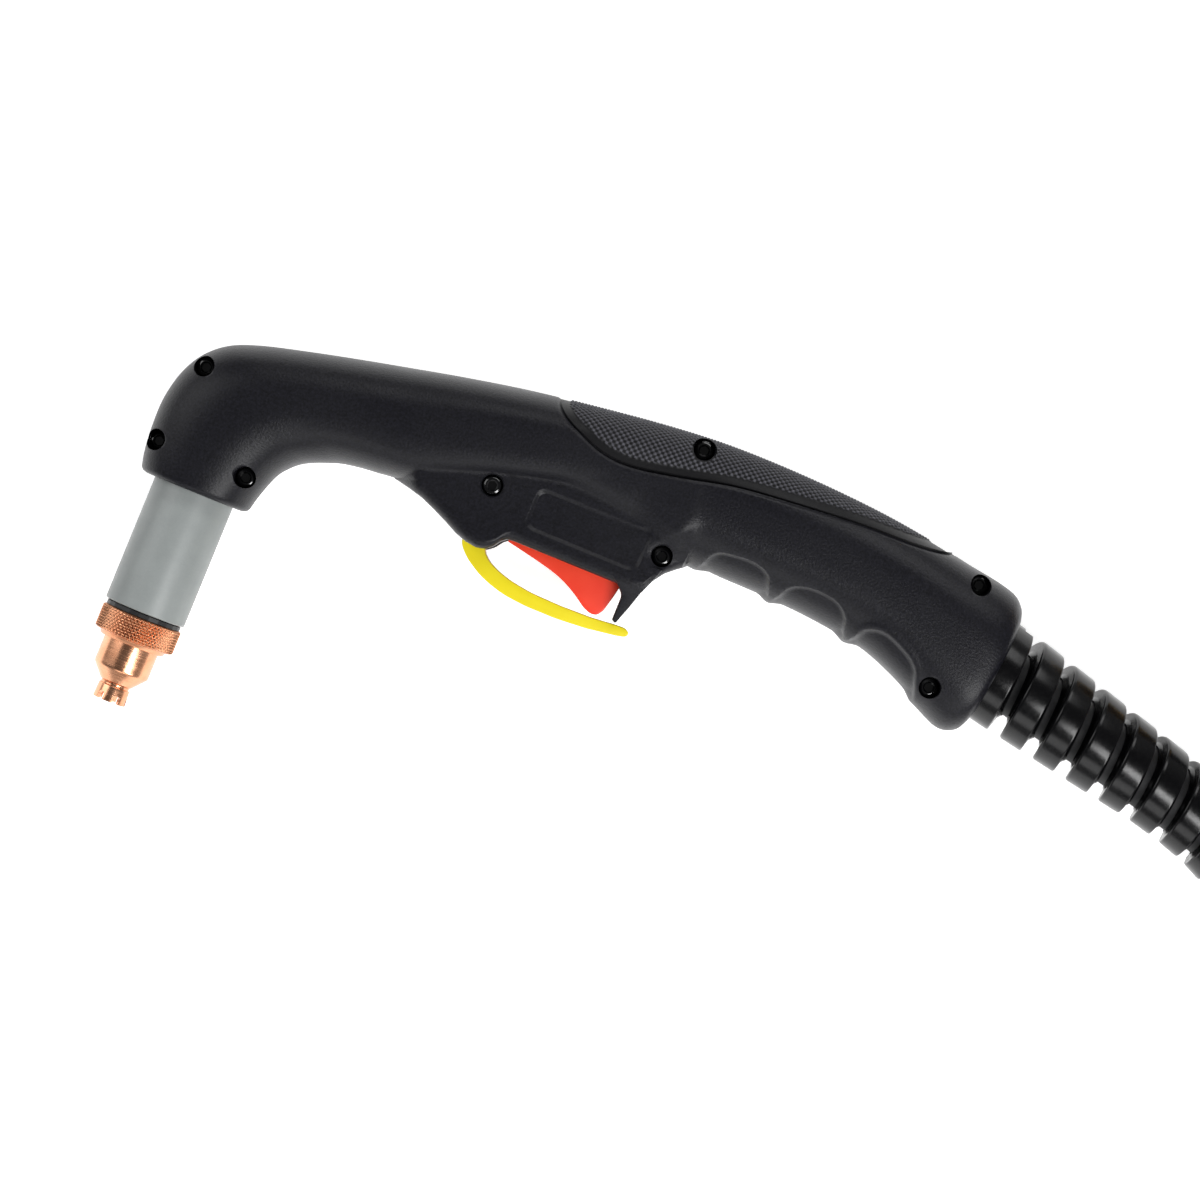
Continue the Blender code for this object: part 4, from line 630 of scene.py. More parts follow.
def build_guard():
    """The bend guard: a collar held in the handle and one right-handed band wound round the lead."""
    line = smooth_route(LEAD_ROUTE, 160)
    total = lengths_along(line)

    def on_lead(along, radius, angle):
        reach = along - LEAD_START
        segment = max(i for i in range(len(line) - 1) if total[i] <= max(reach, 0.0))
        heading = (line[segment + 1] - line[segment]).normalized()
        spot = line[segment] + heading * (reach - total[segment])
        across = Vector((0, 0, 1)).cross(heading).normalized()
        over = heading.cross(across)
        return spot + (across * math.cos(angle) + over * math.sin(angle)) * radius

    first, last = GUARD_HELIX
    turns = (last - first) / GUARD_PITCH
    steps = round(turns * GUARD_STEPS)
    half = GUARD_BAND / 2
    section = rounded([
        (-half - GUARD_FOOT, GUARD_BORE_R, 0.0), (half + GUARD_FOOT, GUARD_BORE_R, 0.0),
        (half, GUARD_BORE_R + 1.6, 1.5), (half, GUARD_R_START, GUARD_RIMS[1]),
        (-half, GUARD_R_START, GUARD_RIMS[0]), (-half, GUARD_BORE_R + 1.6, 1.5)])
    bm = bmesh.new()
    corners = [bm.verts.new((first + along, radius, 0.0)) for along, radius in section]
    face = bm.faces.new(corners)
    start_angle = math.tau * (first - GUARD_TOP_AT) / GUARD_PITCH
    bmesh.ops.rotate(bm, verts=bm.verts, cent=(0, 0, 0), matrix=Matrix.Rotation(start_angle, 3, "X"))
    bmesh.ops.spin(bm, geom=[face] + list(face.edges) + corners, cent=(0, 0, 0), axis=(1, 0, 0),
                   dvec=((last - first) / steps, 0, 0), angle=turns * math.tau, steps=steps, use_duplicate=False)
    for vert in bm.verts:
        along = vert.co.x
        radius = math.hypot(vert.co.y, vert.co.z)
        share = (radius - GUARD_BORE_R) / (GUARD_R_START - GUARD_BORE_R)
        radius = GUARD_BORE_R + share * (guard_radius(along) - GUARD_BORE_R)
        vert.co = on_lead(along, radius, math.atan2(vert.co.z, vert.co.y))
    flange_in, flange_out = GUARD_FLANGE
    heading = Vector((math.cos(LEAD_ANGLE), math.sin(LEAD_ANGLE), 0.0))
    frame_at = Matrix.Translation((*LEAD_AXIS_POINT, 0.0)) @ heading.to_track_quat("Z", "Y").to_matrix().to_4x4()
    collar = turned([
        (GUARD_COLLAR_R - 0.6, GUARD_COLLAR_OUT), (GUARD_COLLAR_R, GUARD_COLLAR_OUT - 0.6),
        (GUARD_COLLAR_R, flange_out), (GUARD_FLANGE_R, flange_out), (GUARD_FLANGE_R, flange_in),
        (GUARD_BORE_R, flange_in), (GUARD_BORE_R, GUARD_COLLAR_OUT)], frame=frame_at)
    mesh = combined(collar, to_mesh(bm), operation="UNION")
    return piece("bend_guard_wound", mesh, "handle", VINYL, "guard", "bend_guard", sharp=40)


TIE_ANGLES = (math.radians(0.0), math.radians(150.0))
TIE_WIDTH = 8.0
TIE_THICKNESS = 1.2


def build_tie(index, angle, line, middle):
    """A strap round the coil's section of turns, pulled round and closed on itself."""
    way = Vector((math.cos(angle), math.sin(angle), 0.0))
    along = Vector((-way.y, way.x, 0.0))
    radii = [(p - middle).dot(way) for p in line if abs((p - middle).dot(along)) < 14 and (p - middle).dot(way) > 0]
    low_r, high_r = min(radii) - LEAD_R - 0.6, max(radii) + LEAD_R + 0.6
    low_z = -HANDLE_HALF + 0.05
    high_z = -HANDLE_HALF + LEAD_LIFT + 2 * LEAD_R + COIL_STEP + 0.5 + TIE_THICKNESS
    t = TIE_THICKNESS
    corners = [(low_r - t, low_z), (high_r + t, low_z), (high_r + t, high_z), (low_r - t, high_z)]
    inner = [(low_r, low_z + t), (high_r, low_z + t), (high_r, high_z - t), (low_r, high_z - t)]
    outside = plate(rounded([(x, z, LEAD_R + t) for x, z in corners]), TIE_WIDTH / 2, edge=0.3, segments=2)
    inside = plate(rounded([(x, z, LEAD_R) for x, z in inner]), TIE_WIDTH)
    mesh = combined(outside, inside)
    up = Vector((0, 0, 1))
    turn = Matrix((way, up, way.cross(up))).transposed().to_4x4()
    mesh.transform(Matrix.Translation((middle.x, middle.y, 0.0)) @ turn)
    return piece(f"strap_{index}", mesh, "handle", STRAP, "tie", f"cable_tie_{index}")


# --- connector --------------------------------------------------------------------------------------
BOOT_LENGTH = 30.0
BOOT_OVER = 6.0  # it reaches this far past the lead's end
BOOT_R = (11.0, 15.0)
BOOT_RIBS, BODY_GROOVES, RIB_PITCH = 5, 4, 3.6
BODY_LENGTH = 34.0
BODY_R = 18.0
NUT_LENGTH = 16.0
NUT_R = 19.0
NUT_LOBES = 8
INSERT_R = 12.5
INSERT_PROUD = 3.0
PLUG_R = 4.5
PLUG_PROUD = 14.0
CONTROL_PIN_R = 1.2
CONTROL_PIN_PROUD = 8.0
CONTROL_PIN_AT = 8.6
CONTROL_PINS = 4
GAP = 0.3


def build_connector(end, heading):
    """Boot, body, insert, coupling nut, plug and pins on the lead's end."""
    place = Matrix.Translation(end + heading * GAP) @ heading.to_track_quat("Z", "Y").to_matrix().to_4x4()
    bore = LEAD_R + GAP
    boot_low = BOOT_OVER - BOOT_LENGTH
    boot = [(bore, boot_low), (BOOT_R[0] - 1, boot_low), (BOOT_R[0], boot_low + 2)]
    for rib in range(BOOT_RIBS):
        at = boot_low + 4 + RIB_PITCH * rib
        out = BOOT_R[0] + (BOOT_R[1] - BOOT_R[0]) * (at - boot_low) / BOOT_LENGTH
        boot += [(out, at), (out - 0.9, at + 0.5), (out - 0.9, at + 1.5), (out + 0.2, at + 2.0)]
    boot += [(BOOT_R[1], BOOT_OVER), (bore, BOOT_OVER)]
    made = [piece("connector_boot_ribbed", turned(boot, frame=place), "handle", VINYL, "guard", "connector_boot")]
    low = BOOT_OVER + GAP
    high = low + BODY_LENGTH
    ridge = BODY_R - 1.5
    body = [(INSERT_R + GAP, low), (BODY_R - 4, low), (BODY_R - 2, low + 2), (BODY_R - 0.4, low + 9),
            (BODY_R, low + 10)]
    for groove in range(BODY_GROOVES):
        at = low + 13 + RIB_PITCH * groove
        body += [(BODY_R, at), (BODY_R - 0.7, at + 0.6), (BODY_R - 0.7, at + 1.4), (BODY_R, at + 2.0)]
    body += [(BODY_R, high - 5), (ridge, high - 4), (ridge, high), (INSERT_R + GAP, high)]
    made.append(piece("connector_body_ringed", turned(body, frame=place), "handle", SWITCH, "switch",
                      "connector_body"))
    face = high + NUT_LENGTH + INSERT_PROUD
    insert = turned([(0.0, low), (INSERT_R, low), (INSERT_R, face - 1), (INSERT_R - 1, face), (0.0, face)],
                    frame=place)
    spots = [Vector((math.cos(a), math.sin(a), 0)) * CONTROL_PIN_AT
             for a in (math.tau * (i + 0.5) / CONTROL_PINS for i in range(CONTROL_PINS))]
    holes = [rod(place @ Vector((0, 0, face - 10 - GAP)), place @ Vector((0, 0, face + 1)), PLUG_R + GAP)]
    holes += [rod(place @ (spot + Vector((0, 0, face - 6 - GAP))), place @ (spot + Vector((0, 0, face + 1))),
                  CONTROL_PIN_R + GAP, 24) for spot in spots]
    insert = combined(insert, together(*holes))
    made.append(piece("connector_insert_drilled", insert, "handle", INSERT, "insert", "connector_insert"))
    plug = turned([(0.0, face - 10), (PLUG_R, face - 10), (PLUG_R, face + 6), (PLUG_R - 0.7, face + 6.6),
                   (PLUG_R - 0.7, face + 8.2), (PLUG_R, face + 8.8), (PLUG_R, face + PLUG_PROUD - 1.4),
                   (PLUG_R - 1.2, face + PLUG_PROUD), (0.0, face + PLUG_PROUD)], 64, place)
    made.append(piece("gas_power_plug_turned", plug, "handle", BRASS, "brass", "gas_power_plug"))
    for index, spot in enumerate(spots, 1):
        pin = turned([(0.0, face - 6), (CONTROL_PIN_R, face - 6), (CONTROL_PIN_R, face + CONTROL_PIN_PROUD - 0.8),
                      (CONTROL_PIN_R - 0.7, face + CONTROL_PIN_PROUD), (0.0, face + CONTROL_PIN_PROUD)], 24,
                     place @ Matrix.Translation(spot))
        made.append(piece(f"control_pin_{index}_turned", pin, "handle", BRASS, "brass", f"control_pin_{index}"))
    low = high + GAP
    high = low + NUT_LENGTH
    nut = turned([(INSERT_R + GAP, low), (NUT_R - 1, low), (NUT_R, low + 1), (NUT_R, high - 1), (NUT_R - 1, high),
                  (INSERT_R + GAP, high)], 128, place)
    flutes = []
    for index in range(NUT_LOBES):
        angle = math.tau * (index + 0.5) / NUT_LOBES
        rim = Vector((math.cos(angle), math.sin(angle), 0)) * (NUT_R + 1.2)
        flutes.append(rod(place @ (rim + Vector((0, 0, low - 1))), place @ (rim + Vector((0, 0, high + 1))), 2.4, 32))
    nut = combined(nut, together(*flutes))
    made.append(piece("connector_nut_fluted", nut, "nut", BRASS, "brass", "connector_nut"))
    return made


lead, LEAD_LINE, COIL_MIDDLE, LEAD_END, LEAD_HEADING = build_lead()
guard = build_guard()
straps = [build_tie(index, angle, coil_line()[0], COIL_MIDDLE) for index, angle in enumerate(TIE_ANGLES, 1)]
connector = build_connector(LEAD_END, LEAD_HEADING)


# --- handle -----------------------------------------------------------------------------------------
# Rings from the head's collar to the rear, in millimetres: top x, top y, bottom x, bottom y, share of the
# full half width, squareness of the upper half and of the lower half (2 is an ellipse)
HANDLE_RINGS = (
    (-14.5, 33.3, 14.5, 33.3, 0.829, 2.3, 2.3),
    (-15.6, 38.5, 15.8, 38.9, 0.869, 2.5, 2.5),
    (-16.2, 46.0, 17.9, 44.8, 0.914, 2.6, 2.6),
    (-16.0, 53.4, 20.2, 48.0, 0.943, 2.6, 2.6),
    (-14.2, 60.8, 22.8, 50.3, 0.966, 2.6, 2.6),
    (-10.8, 66.8, 25.6, 51.8, 0.977, 2.6, 2.6),
    (-5.6, 71.3, 28.8, 53.1, 0.983, 2.6, 2.5),
    (1.5, 74.3, 32.3, 54.3, 0.983, 2.5, 2.5),
    (12.0, 77.2, 37.5, 55.2, 0.983, 2.5, 2.5),
    (25.0, 80.4, 44.0, 55.9, 0.983, 2.5, 2.6),
    (39.0, 83.6, 52.0, 57.3, 0.983, 2.5, 3.0),
    (54.0, 86.9, 62.0, 61.8, 0.989, 2.5, 3.6),
    (70.0, 90.0, 73.5, 66.0, 0.994, 2.5, 3.8),
    (88.0, 92.7, 89.0, 69.4, 1.000, 2.5, 3.4),
    (105.0, 94.9, 104.0, 68.8, 1.000, 2.5, 2.8),
    (120.0, 96.2, 118.0, 64.6, 1.000, 2.6, 2.4),
    (134.0, 96.5, 131.0, 63.1, 1.000, 2.7, 2.3),
    (150.0, 96.1, 146.0, 62.8, 1.000, 2.7, 2.3),
    (166.0, 95.0, 160.0, 61.8, 1.000, 2.7, 2.3),
    (180.0, 93.2, 173.0, 59.9, 1.000, 2.7, 2.4),
    (191.0, 91.3, 184.0, 56.0, 1.000, 2.7, 2.6),
    (199.5, 90.0, 192.5, 52.2, 0.994, 2.7, 2.7),
    (204.5, 88.6, 199.0, 49.6, 0.971, 2.7, 2.7),
    (207.0, 86.4, 203.0, 50.6, 0.931, 2.7, 2.7),
    (208.4, 83.6, 205.2, 53.5, 0.869, 2.7, 2.7),
)
LIP = 1.4  # round edge at the handle's two ends
HOUSING_BOTTOM = (  # the trigger housing's lower edge
    (40.0, 57.0), (43.0, 56.2), (46.5, 55.9), (51.0, 55.0), (55.0, 54.0), (59.0, 52.4), (63.0, 50.6),
    (66.5, 48.9), (69.5, 47.9), (72.5, 47.5), (74.8, 48.0), (76.6, 49.4), (77.8, 51.2), (79.2, 52.4),
    (81.0, 52.6), (113.8, 52.6), (115.4, 53.4), (116.8, 55.8), (119.4, 59.5), (122.0, 61.8), (123.6, 63.0),
    (124.8, 64.4), (130.0, 64.6),
)
HOUSING_HALF = 14.0
HOUSING_FROM, HOUSING_FULL = 43.0, 54.0  # where the housing's flat side begins and reaches its full width
HOUSING_END = (122.9, 124.5)  # where it fades into the grip
HOUSING_TO = 126.0
HOUSING_RIMS, RIM_CHANGE = (4.2, 2.4), (66, 76)  # edge radius in front and behind, and where it changes
MERGES, MERGE_CHANGE = (0.8, 5.8), (84, 104)  # how softly it joins the grip, in the same way
MERGE_END = (119, 123)  # and where that becomes sharp again, at the ridge
WIDTH_SOFT = 0.8  # the skin is eased to the handle's full width over this much
RIDGE_FOOT, RIDGE_PEAK = (114.5, 65.5), (122.5, 74.4)  # the ridge over the fin
RIDGE_RISE = 2.6  # the housing's side swells towards the peak
RIDGE_X, RIDGE_Y = (106, 122), (62, 74)
RIDGE_ABOVE, RIDGE_DROP = (75, 82), 3.0  # above the peak it sinks under the grip
RIDGE_SLOPE = 0.45  # and falls away below the ridge
RIDGE_START = (-5, 2)  # along the ridge from its foot, where that fall begins
GROOVES = (
    ((126.8, 60.0), (127.3, 66.0), (129.6, 69.6), (134.1, 70.7), (139.2, 70.9), (143.0, 69.9), (145.1, 67.3),
     (145.4, 60.0)),
    ((147.8, 60.0), (148.5, 66.2), (151.0, 69.2), (156.2, 70.4), (162.3, 69.7), (165.8, 67.2), (167.0, 64.4),
     (167.2, 58.0)),
    ((169.4, 57.0), (170.5, 64.0), (173.0, 66.4), (177.1, 66.8), (182.4, 64.8), (186.2, 62.4), (188.3, 59.0),
     (188.8, 52.0)),
)
GROOVE_DEPTH = 1.2
GROOVE_RIM = 1.7
GROOVE_RIM_EXTRA, NEAR_SEAM = 2.2, (1, 8)  # the rim is wider near the parting line
GROOVE_BEAD = 0.30  # a low rounded bead runs round each groove, and fades out near the parting line
BEAD_OUT, BEAD_WIDE, BEAD_FADE = 0.4, 1.0, (3, 9)
PARTING = 0.15
WALL = 2.6
LABEL = ((82.0, 57.0), (112.5, 67.7))
LABEL_CORNER = 2.8
LABEL_DEPTH = 0.6
LABEL_WALL = (  # height and how far outside the label's outline: a rounded foot, a slope and a rounded rim
    (12.6, -1.6), (13.42, -0.62), (13.52, -0.30), (13.92, 0.10), (14.02, 0.42), (16.0, 2.4),
)
FINE_X = (76.0, 121.0)  # the skin is finer here, for the label's edges
PAD_OUTLINE = (
    (77.6, 97.0), (78.2, 90.4), (80.4, 87.3), (84.4, 84.8), (92.7, 81.5), (101.2, 80.9), (113.0, 83.0),
    (127.0, 86.2), (141.0, 87.9), (160.0, 89.6), (176.0, 90.3), (186.0, 92.4), (189.0, 98.0), (188.0, 106.0),
    (132.0, 108.0), (78.0, 106.0),
)
PAD_THICKNESS = 1.2
PAD_GAP = 0.06
PAD_STEP = 0.32  # the shell's edge round the pad rolls down this far
PAD_ROLL = 0.8
PAD_BAND = 2.4  # smooth margin of the pad
PIP_PITCH = 1.15
PIP_HEIGHT = 0.46
PIP_LEVEL, PIP_SWING = 0.45, 0.75  # how much of the weave stands out, cut flat at the top and the bottom


def ring_rows(step, fine_step=None):
    """Rings a step apart along the handle's middle line, finer round the label and at both ends."""
    table = np.array(HANDLE_RINGS)
    table = np.vstack([2 * table[0] - table[1], table, 2 * table[-1] - table[-2]])
    t = np.linspace(0, 1, 40, endpoint=False)[:, None]
    rows = [between(*corners, t) for corners in zip(table, table[1:], table[2:], table[3:])]
    rows = np.vstack(rows + [table[-2][None]])
    middle = (rows[:, :2] + rows[:, 2:4]) / 2
    along = np.concatenate([[0], np.cumsum(np.linalg.norm(np.diff(middle, axis=0), axis=1))])
    steps = np.full(len(rows), step)
    if fine_step:
        at_label = (rows[:, 0] > FINE_X[0]) & (rows[:, 0] < FINE_X[1])
        at_end = np.minimum(along, along[-1] - along) < 1.3 * LIP
        steps[at_label | at_end] = fine_step
    counted = np.concatenate([[0], np.cumsum(np.diff(along) / steps[1:])])
    wanted = np.interp(np.linspace(0, counted[-1], round(counted[-1]) + 1), counted, along)
    return np.stack([np.interp(wanted, along, column) for column in rows.T], axis=1), wanted


def smooth_step(value, low, high):
    t = np.clip((value - low) / (high - low), 0, 1)
    return t * t * (3 - 2 * t)


def changing(values, place, where):
    """The first value before where, the second after it."""
    return values[0] + (values[1] - values[0]) * smooth_step(place, *where)


def smooth_max(first, second, width):
    share = np.clip(0.5 + 0.5 * (first - second) / width, 0, 1)
    return second + (first - second) * share + width * share * (1 - share)


def outline_depth(x, y, outline):
    """How far each point lies inside an outline; outside it is negative."""
    points = np.array([tuple(p) for p in outline])
    nearest = np.full(x.shape, 1e9)
    inside = np.zeros(x.shape, bool)
    for a, b in zip(points, np.roll(points, -1, axis=0)):
        span = b - a
        t = np.clip(((x - a[0]) * span[0] + (y - a[1]) * span[1]) / (span @ span), 0, 1)
        nearest = np.minimum(nearest, np.hypot(x - a[0] - t * span[0], y - a[1] - t * span[1]))
        if a[1] != b[1]:
            crosses = (a[1] > y) != (b[1] > y)
            inside ^= crosses & (x < a[0] + (y - a[1]) * span[0] / span[1])
    return np.where(inside, nearest, -nearest)


def side_points(rows, part, inset=0.0, seam=PARTING):
    """The handle's left side over a grid: part runs from 0 on the top's parting line to 1 on the bottom's."""
    inset = np.broadcast_to(inset, (len(rows),))[:, None]
    top, bottom = rows[:, :2], rows[:, 2:4]
    up = top - bottom
    tall = np.linalg.norm(up, axis=1, keepdims=True)
    up = up / tall
    top, bottom = top - up * inset, bottom + up * inset
    tall = tall - 2 * inset
    wide = rows[:, 4:5] * HANDLE_HALF - inset
    foot = bottom[:, :1]
    lower = np.interp(foot, *np.array(HOUSING_BOTTOM).T) + inset
    in_housing = (foot > HOUSING_FROM) & (foot < HOUSING_TO)
    drop = np.where(in_housing, np.maximum(bottom[:, 1:] - lower, 0.0), 0.0)
    reach = part * (tall + drop)
    on_body = np.minimum(reach, tall)
    x = top[:, :1] - up[:, :1] * on_body
    y = top[:, 1:] - up[:, 1:] * on_body - (reach - on_body)
    t = np.clip(2 * reach / tall - 1, -1, 1)
    power = np.where(t < 0, rows[:, 5:6], rows[:, 6:7])
    body = wide * np.maximum(1 - np.abs(t) ** power, 0) ** (1 / power)
    z = np.maximum(with_housing(body, x, y, t, tall + drop - reach, foot, inset), seam)
    z[:, 0] = seam
    z[:, -1] = seam
    return np.stack([x, y, z], axis=2)


def with_housing(body, x, y, t, left, foot, inset):
    """The grip's skin with the flat trigger housing and the ridge over its fin blended on."""
    ramp = smooth_step(foot, HOUSING_FROM, HOUSING_FULL) * (1 - smooth_step(foot, *HOUSING_END))
    start, peak = np.array(RIDGE_FOOT), np.array(RIDGE_PEAK)
    along = (peak - start) / np.linalg.norm(peak - start)
    past = (x - start[0]) * along[1] - (y - start[1]) * along[0]
    up_ridge = (x - start[0]) * along[0] + (y - start[1]) * along[1]
    fall = RIDGE_SLOPE * smooth_max(past, 0 * past, 1.0) * smooth_step(up_ridge, *RIDGE_START)
    fall = fall + RIDGE_DROP * smooth_step(y, *RIDGE_ABOVE)
    swell = smooth_step(x, *RIDGE_X) * smooth_step(y, *RIDGE_Y)
    half = (HOUSING_HALF - inset + RIDGE_RISE * swell - fall) * ramp
    rim = changing(HOUSING_RIMS, foot, RIM_CHANGE)
    short = np.maximum(rim - left, 0)
    housing = half - rim + np.sqrt(np.maximum(rim ** 2 - short ** 2, 0))
    housing = np.where((t > -0.2) & (ramp > 0), np.maximum(housing, 0), 0)
    merge = changing(MERGES, foot, MERGE_CHANGE) * (1 - 0.8 * smooth_step(x, *MERGE_END))
    skin = np.where(housing > 0, smooth_max(body, housing, merge), body)
    widest = HANDLE_HALF - inset
    return skin + widest - smooth_max(skin, widest, WIDTH_SOFT)


def outward(points):
    """The skin's unit normals, level with the parting plane along both of its edges."""
    normal = np.cross(np.gradient(points, axis=0), np.gradient(points, axis=1))
    normal = normal / np.maximum(np.linalg.norm(normal, axis=2, keepdims=True), 1e-9)
    normal = normal * np.sign(normal[:, :, 2].mean())
    normal[:, 0] = normal[:, 1] * (1, 1, 0)
    normal[:, -1] = normal[:, -2] * (1, 1, 0)
    return normal


def label_outline():
    (low_x, low_y), (high_x, high_y) = LABEL
    corners = ((low_x, low_y), (high_x, low_y), (high_x, high_y), (low_x, high_y))
    return rounded([(x, y, LABEL_CORNER) for x, y in corners])


def detailed(points):
    """The skin with its finger grooves and the rolled edge round the pad."""
    x, y, z = points[:, :, 0], points[:, :, 1], points[:, :, 2]
    deep = np.zeros_like(x)
    for groove in GROOVES:
        inside = outline_depth(x, y, curved(groove))
        rim = GROOVE_RIM + GROOVE_RIM_EXTRA * (1 - smooth_step(z, *NEAR_SEAM))
        bead = GROOVE_BEAD * np.exp(-((inside + BEAD_OUT) / BEAD_WIDE) ** 2) * smooth_step(z, *BEAD_FADE)
        deep = np.maximum(deep, GROOVE_DEPTH * smooth_step(inside, -0.3, rim)) - bead
    deep = deep + PAD_STEP * smooth_step(outline_depth(x, y, curved(PAD_OUTLINE)), -PAD_ROLL, 0.1)
    points = points - outward(points) * deep[:, :, None]
    points[:, :, 2] = np.maximum(points[:, :, 2], PARTING)
    return points


def grid_of(bm, points):
    """A sheet of quads over a grid of points; gives its rows of vertices."""
    stations, around = points.shape[:2]
    made = bmesh.ops.create_grid(bm, x_segments=stations - 1, y_segments=around - 1, size=0.5)["verts"]
    rows = [[None] * around for _ in range(stations)]
    for vert in made:
        i, j = round((vert.co.x + 0.5) * (stations - 1)), round((vert.co.y + 0.5) * (around - 1))
        rows[i][j] = vert
        vert.co = points[i, j]
    return rows


def half_solid(points):
    """A skin closed with a face at each end and one on the parting plane."""
    bm = bmesh.new()
    rows = grid_of(bm, points)
    bm.faces.new(rows[0])
    bm.faces.new(rows[-1])
    bm.faces.new([row[0] for row in rows] + [row[-1] for row in reversed(rows)])
    return to_mesh(bm)


def mirrored(mesh):
    bm = bmesh.new()
    bm.from_mesh(mesh)
    bmesh.ops.scale(bm, vec=(1, 1, -1), verts=bm.verts)
    return to_mesh(bm)


FIN_HALF = 9.0
FIN_SWELL = 0.545  # how much thicker it is at its root
FIN_TIP_Y, FIN_ROOT_Y = 43.0, 54.0
FIN_OUTLINE = (
    (106.0, 60.0, 0.0), (106.0, 54.6, 0.0), (109.0, 52.8, 3.0), (111.5, 50.6, 3.0), (111.5, 43.6, 0.4),
    (112.6, 43.0, 0.5), (114.4, 48.3, 6.0),
    (115.6, 52.4, 6.0), (117.0, 55.8, 4.0), (118.6, 60.0, 0.0),
)
SLOT_HALF = 6.4
SLOT_X = (64.5, 111.2)
SLOT_TOP = 57.0
SCREWS = (  # place of each screw
    (-8.5, 63.9), (-13.1, 42.0), (11.7, 41.7), (70.6, 63.6),
    (117.1, 63.3), (116.9, 92.3), (194.7, 87.2), (192.4, 58.2),
)
PAD_SCREW = 5  # this one goes through the pad
SCREW_HEAD_R = 2.5
SCREW_HEAD_H = 2.4
SCREW_SHANK_R = 1.3
SCREW_SINK = 0.7
SCREW_COVER = 3.5
RECESS_R = 2.8
RECESS_FLARE = 0.35
BOSS_R = 3.6
PIN_R = 1.25
PIN_HALF = 10.5
PIN_BOSS_R = 3.0
PIN_BOSS_IN = 7.0
TRIGGER_PIVOT = (82.0, 57.5)
LEVER_PIVOT = (71.6, 52.3)


def top_of(points, x, y):
    """Height of the handle's side over a place, read off its grid."""
    away = (points[:, :, 0] - x) ** 2 + (points[:, :, 1] - y) ** 2
    return float(points[:, :, 2].flat[int(away.argmin())])


def rim_of(points, x, y):
    """Lowest and highest point of the skin round a screw's recess."""
    angles = [math.tau * i / 12 for i in range(12)]
    rim = [top_of(points, x + RECESS_R * math.cos(a), y + RECESS_R * math.sin(a)) for a in angles]
    return min(rim), max(rim)


def recess(x, y, seat, high):
    """The screw's recess with its opened-out mouth."""
    low = seat - SCREW_HEAD_H - GAP
    return turned([(0.0, low), (RECESS_R, low), (RECESS_R, high - RECESS_FLARE), (RECESS_R + RECESS_FLARE, high),
                   (RECESS_R + RECESS_FLARE, high + 4), (0.0, high + 4)], 48, Matrix.Translation((x, y, 0)))


def inner_cutters():
    """What both shells leave open: the hollow round the bosses, the bores, the slot and the pad's pocket."""
    across = (1 - np.cos(np.linspace(0, math.pi, 44))) / 2
    rows, along = ring_rows(3.5)
    inside = (along > 31) & (along < along[-1] - 24)
    hollow = half_solid(side_points(rows[inside], across, WALL, seam=-1.0))
    bosses = [rod((x, y, -2), (x, y, 25), BOSS_R, 32) for x, y in SCREWS]
    for x, y in (TRIGGER_PIVOT, LEVER_PIVOT):
        bosses.append(rod((x, y, PIN_BOSS_IN), (x, y, 25), PIN_BOSS_R, 32))
    heading = Vector((math.cos(LEAD_ANGLE), math.sin(LEAD_ANGLE), 0.0))
    axis = Vector((*LEAD_AXIS_POINT, 0.0))
    flange_in, flange_out = GUARD_FLANGE
    rows, along = ring_rows(1.2)
    floor = half_solid(side_points(rows, (1 - np.cos(np.linspace(0, math.pi, 60))) / 2, PAD_THICKNESS + GAP,
                                   seam=-1.0))
    pocket = combined(plate(curved(PAD_OUTLINE), 20.0, middle=19.5), floor)
    return [
        combined(hollow, *bosses), pocket,
        rod((0, 25, 0), (0, 38.8, 0), SLEEVE_R + GAP), rod((0, 30, 0), (0, 55, 0), SLEEVE_BORE_R),
        block((SLOT_X[0], 35, -SLOT_HALF), (SLOT_X[1], SLOT_TOP, SLOT_HALF)),
        rod(axis + heading * (flange_in - 1.5), axis + heading * 20, GUARD_COLLAR_R + 0.4),
        rod(axis + heading * (flange_in - GAP), axis + heading * (flange_out + GAP), GUARD_FLANGE_R + GAP),
        rod(axis + heading * (LEAD_START - 4), axis + heading * flange_in, 9.9),
        rod((*TRIGGER_PIVOT, -1), (*TRIGGER_PIVOT, PIN_HALF + GAP), PIN_R + GAP, 32),
        rod((*LEVER_PIVOT, -1), (*LEVER_PIVOT, PIN_HALF + GAP), PIN_R + GAP, 32),
    ]


def tapered_fin():
    """The fin behind the trigger: as thick as the housing at its root, and thinner towards its tip."""
    bm = bmesh.new()
    bm.from_mesh(plate(rounded(FIN_OUTLINE), FIN_HALF, edge=1.4))
    bmesh.ops.bisect_plane(bm, geom=list(bm.verts) + list(bm.edges) + list(bm.faces), dist=1e-5,
                           plane_co=(0, FIN_ROOT_Y, 0), plane_no=(0, 1, 0))
    for vert in bm.verts:
        vert.co.z *= 1 + FIN_SWELL * min((vert.co.y - FIN_TIP_Y) / (FIN_ROOT_Y - FIN_TIP_Y), 1.0)
    return to_mesh(bm)


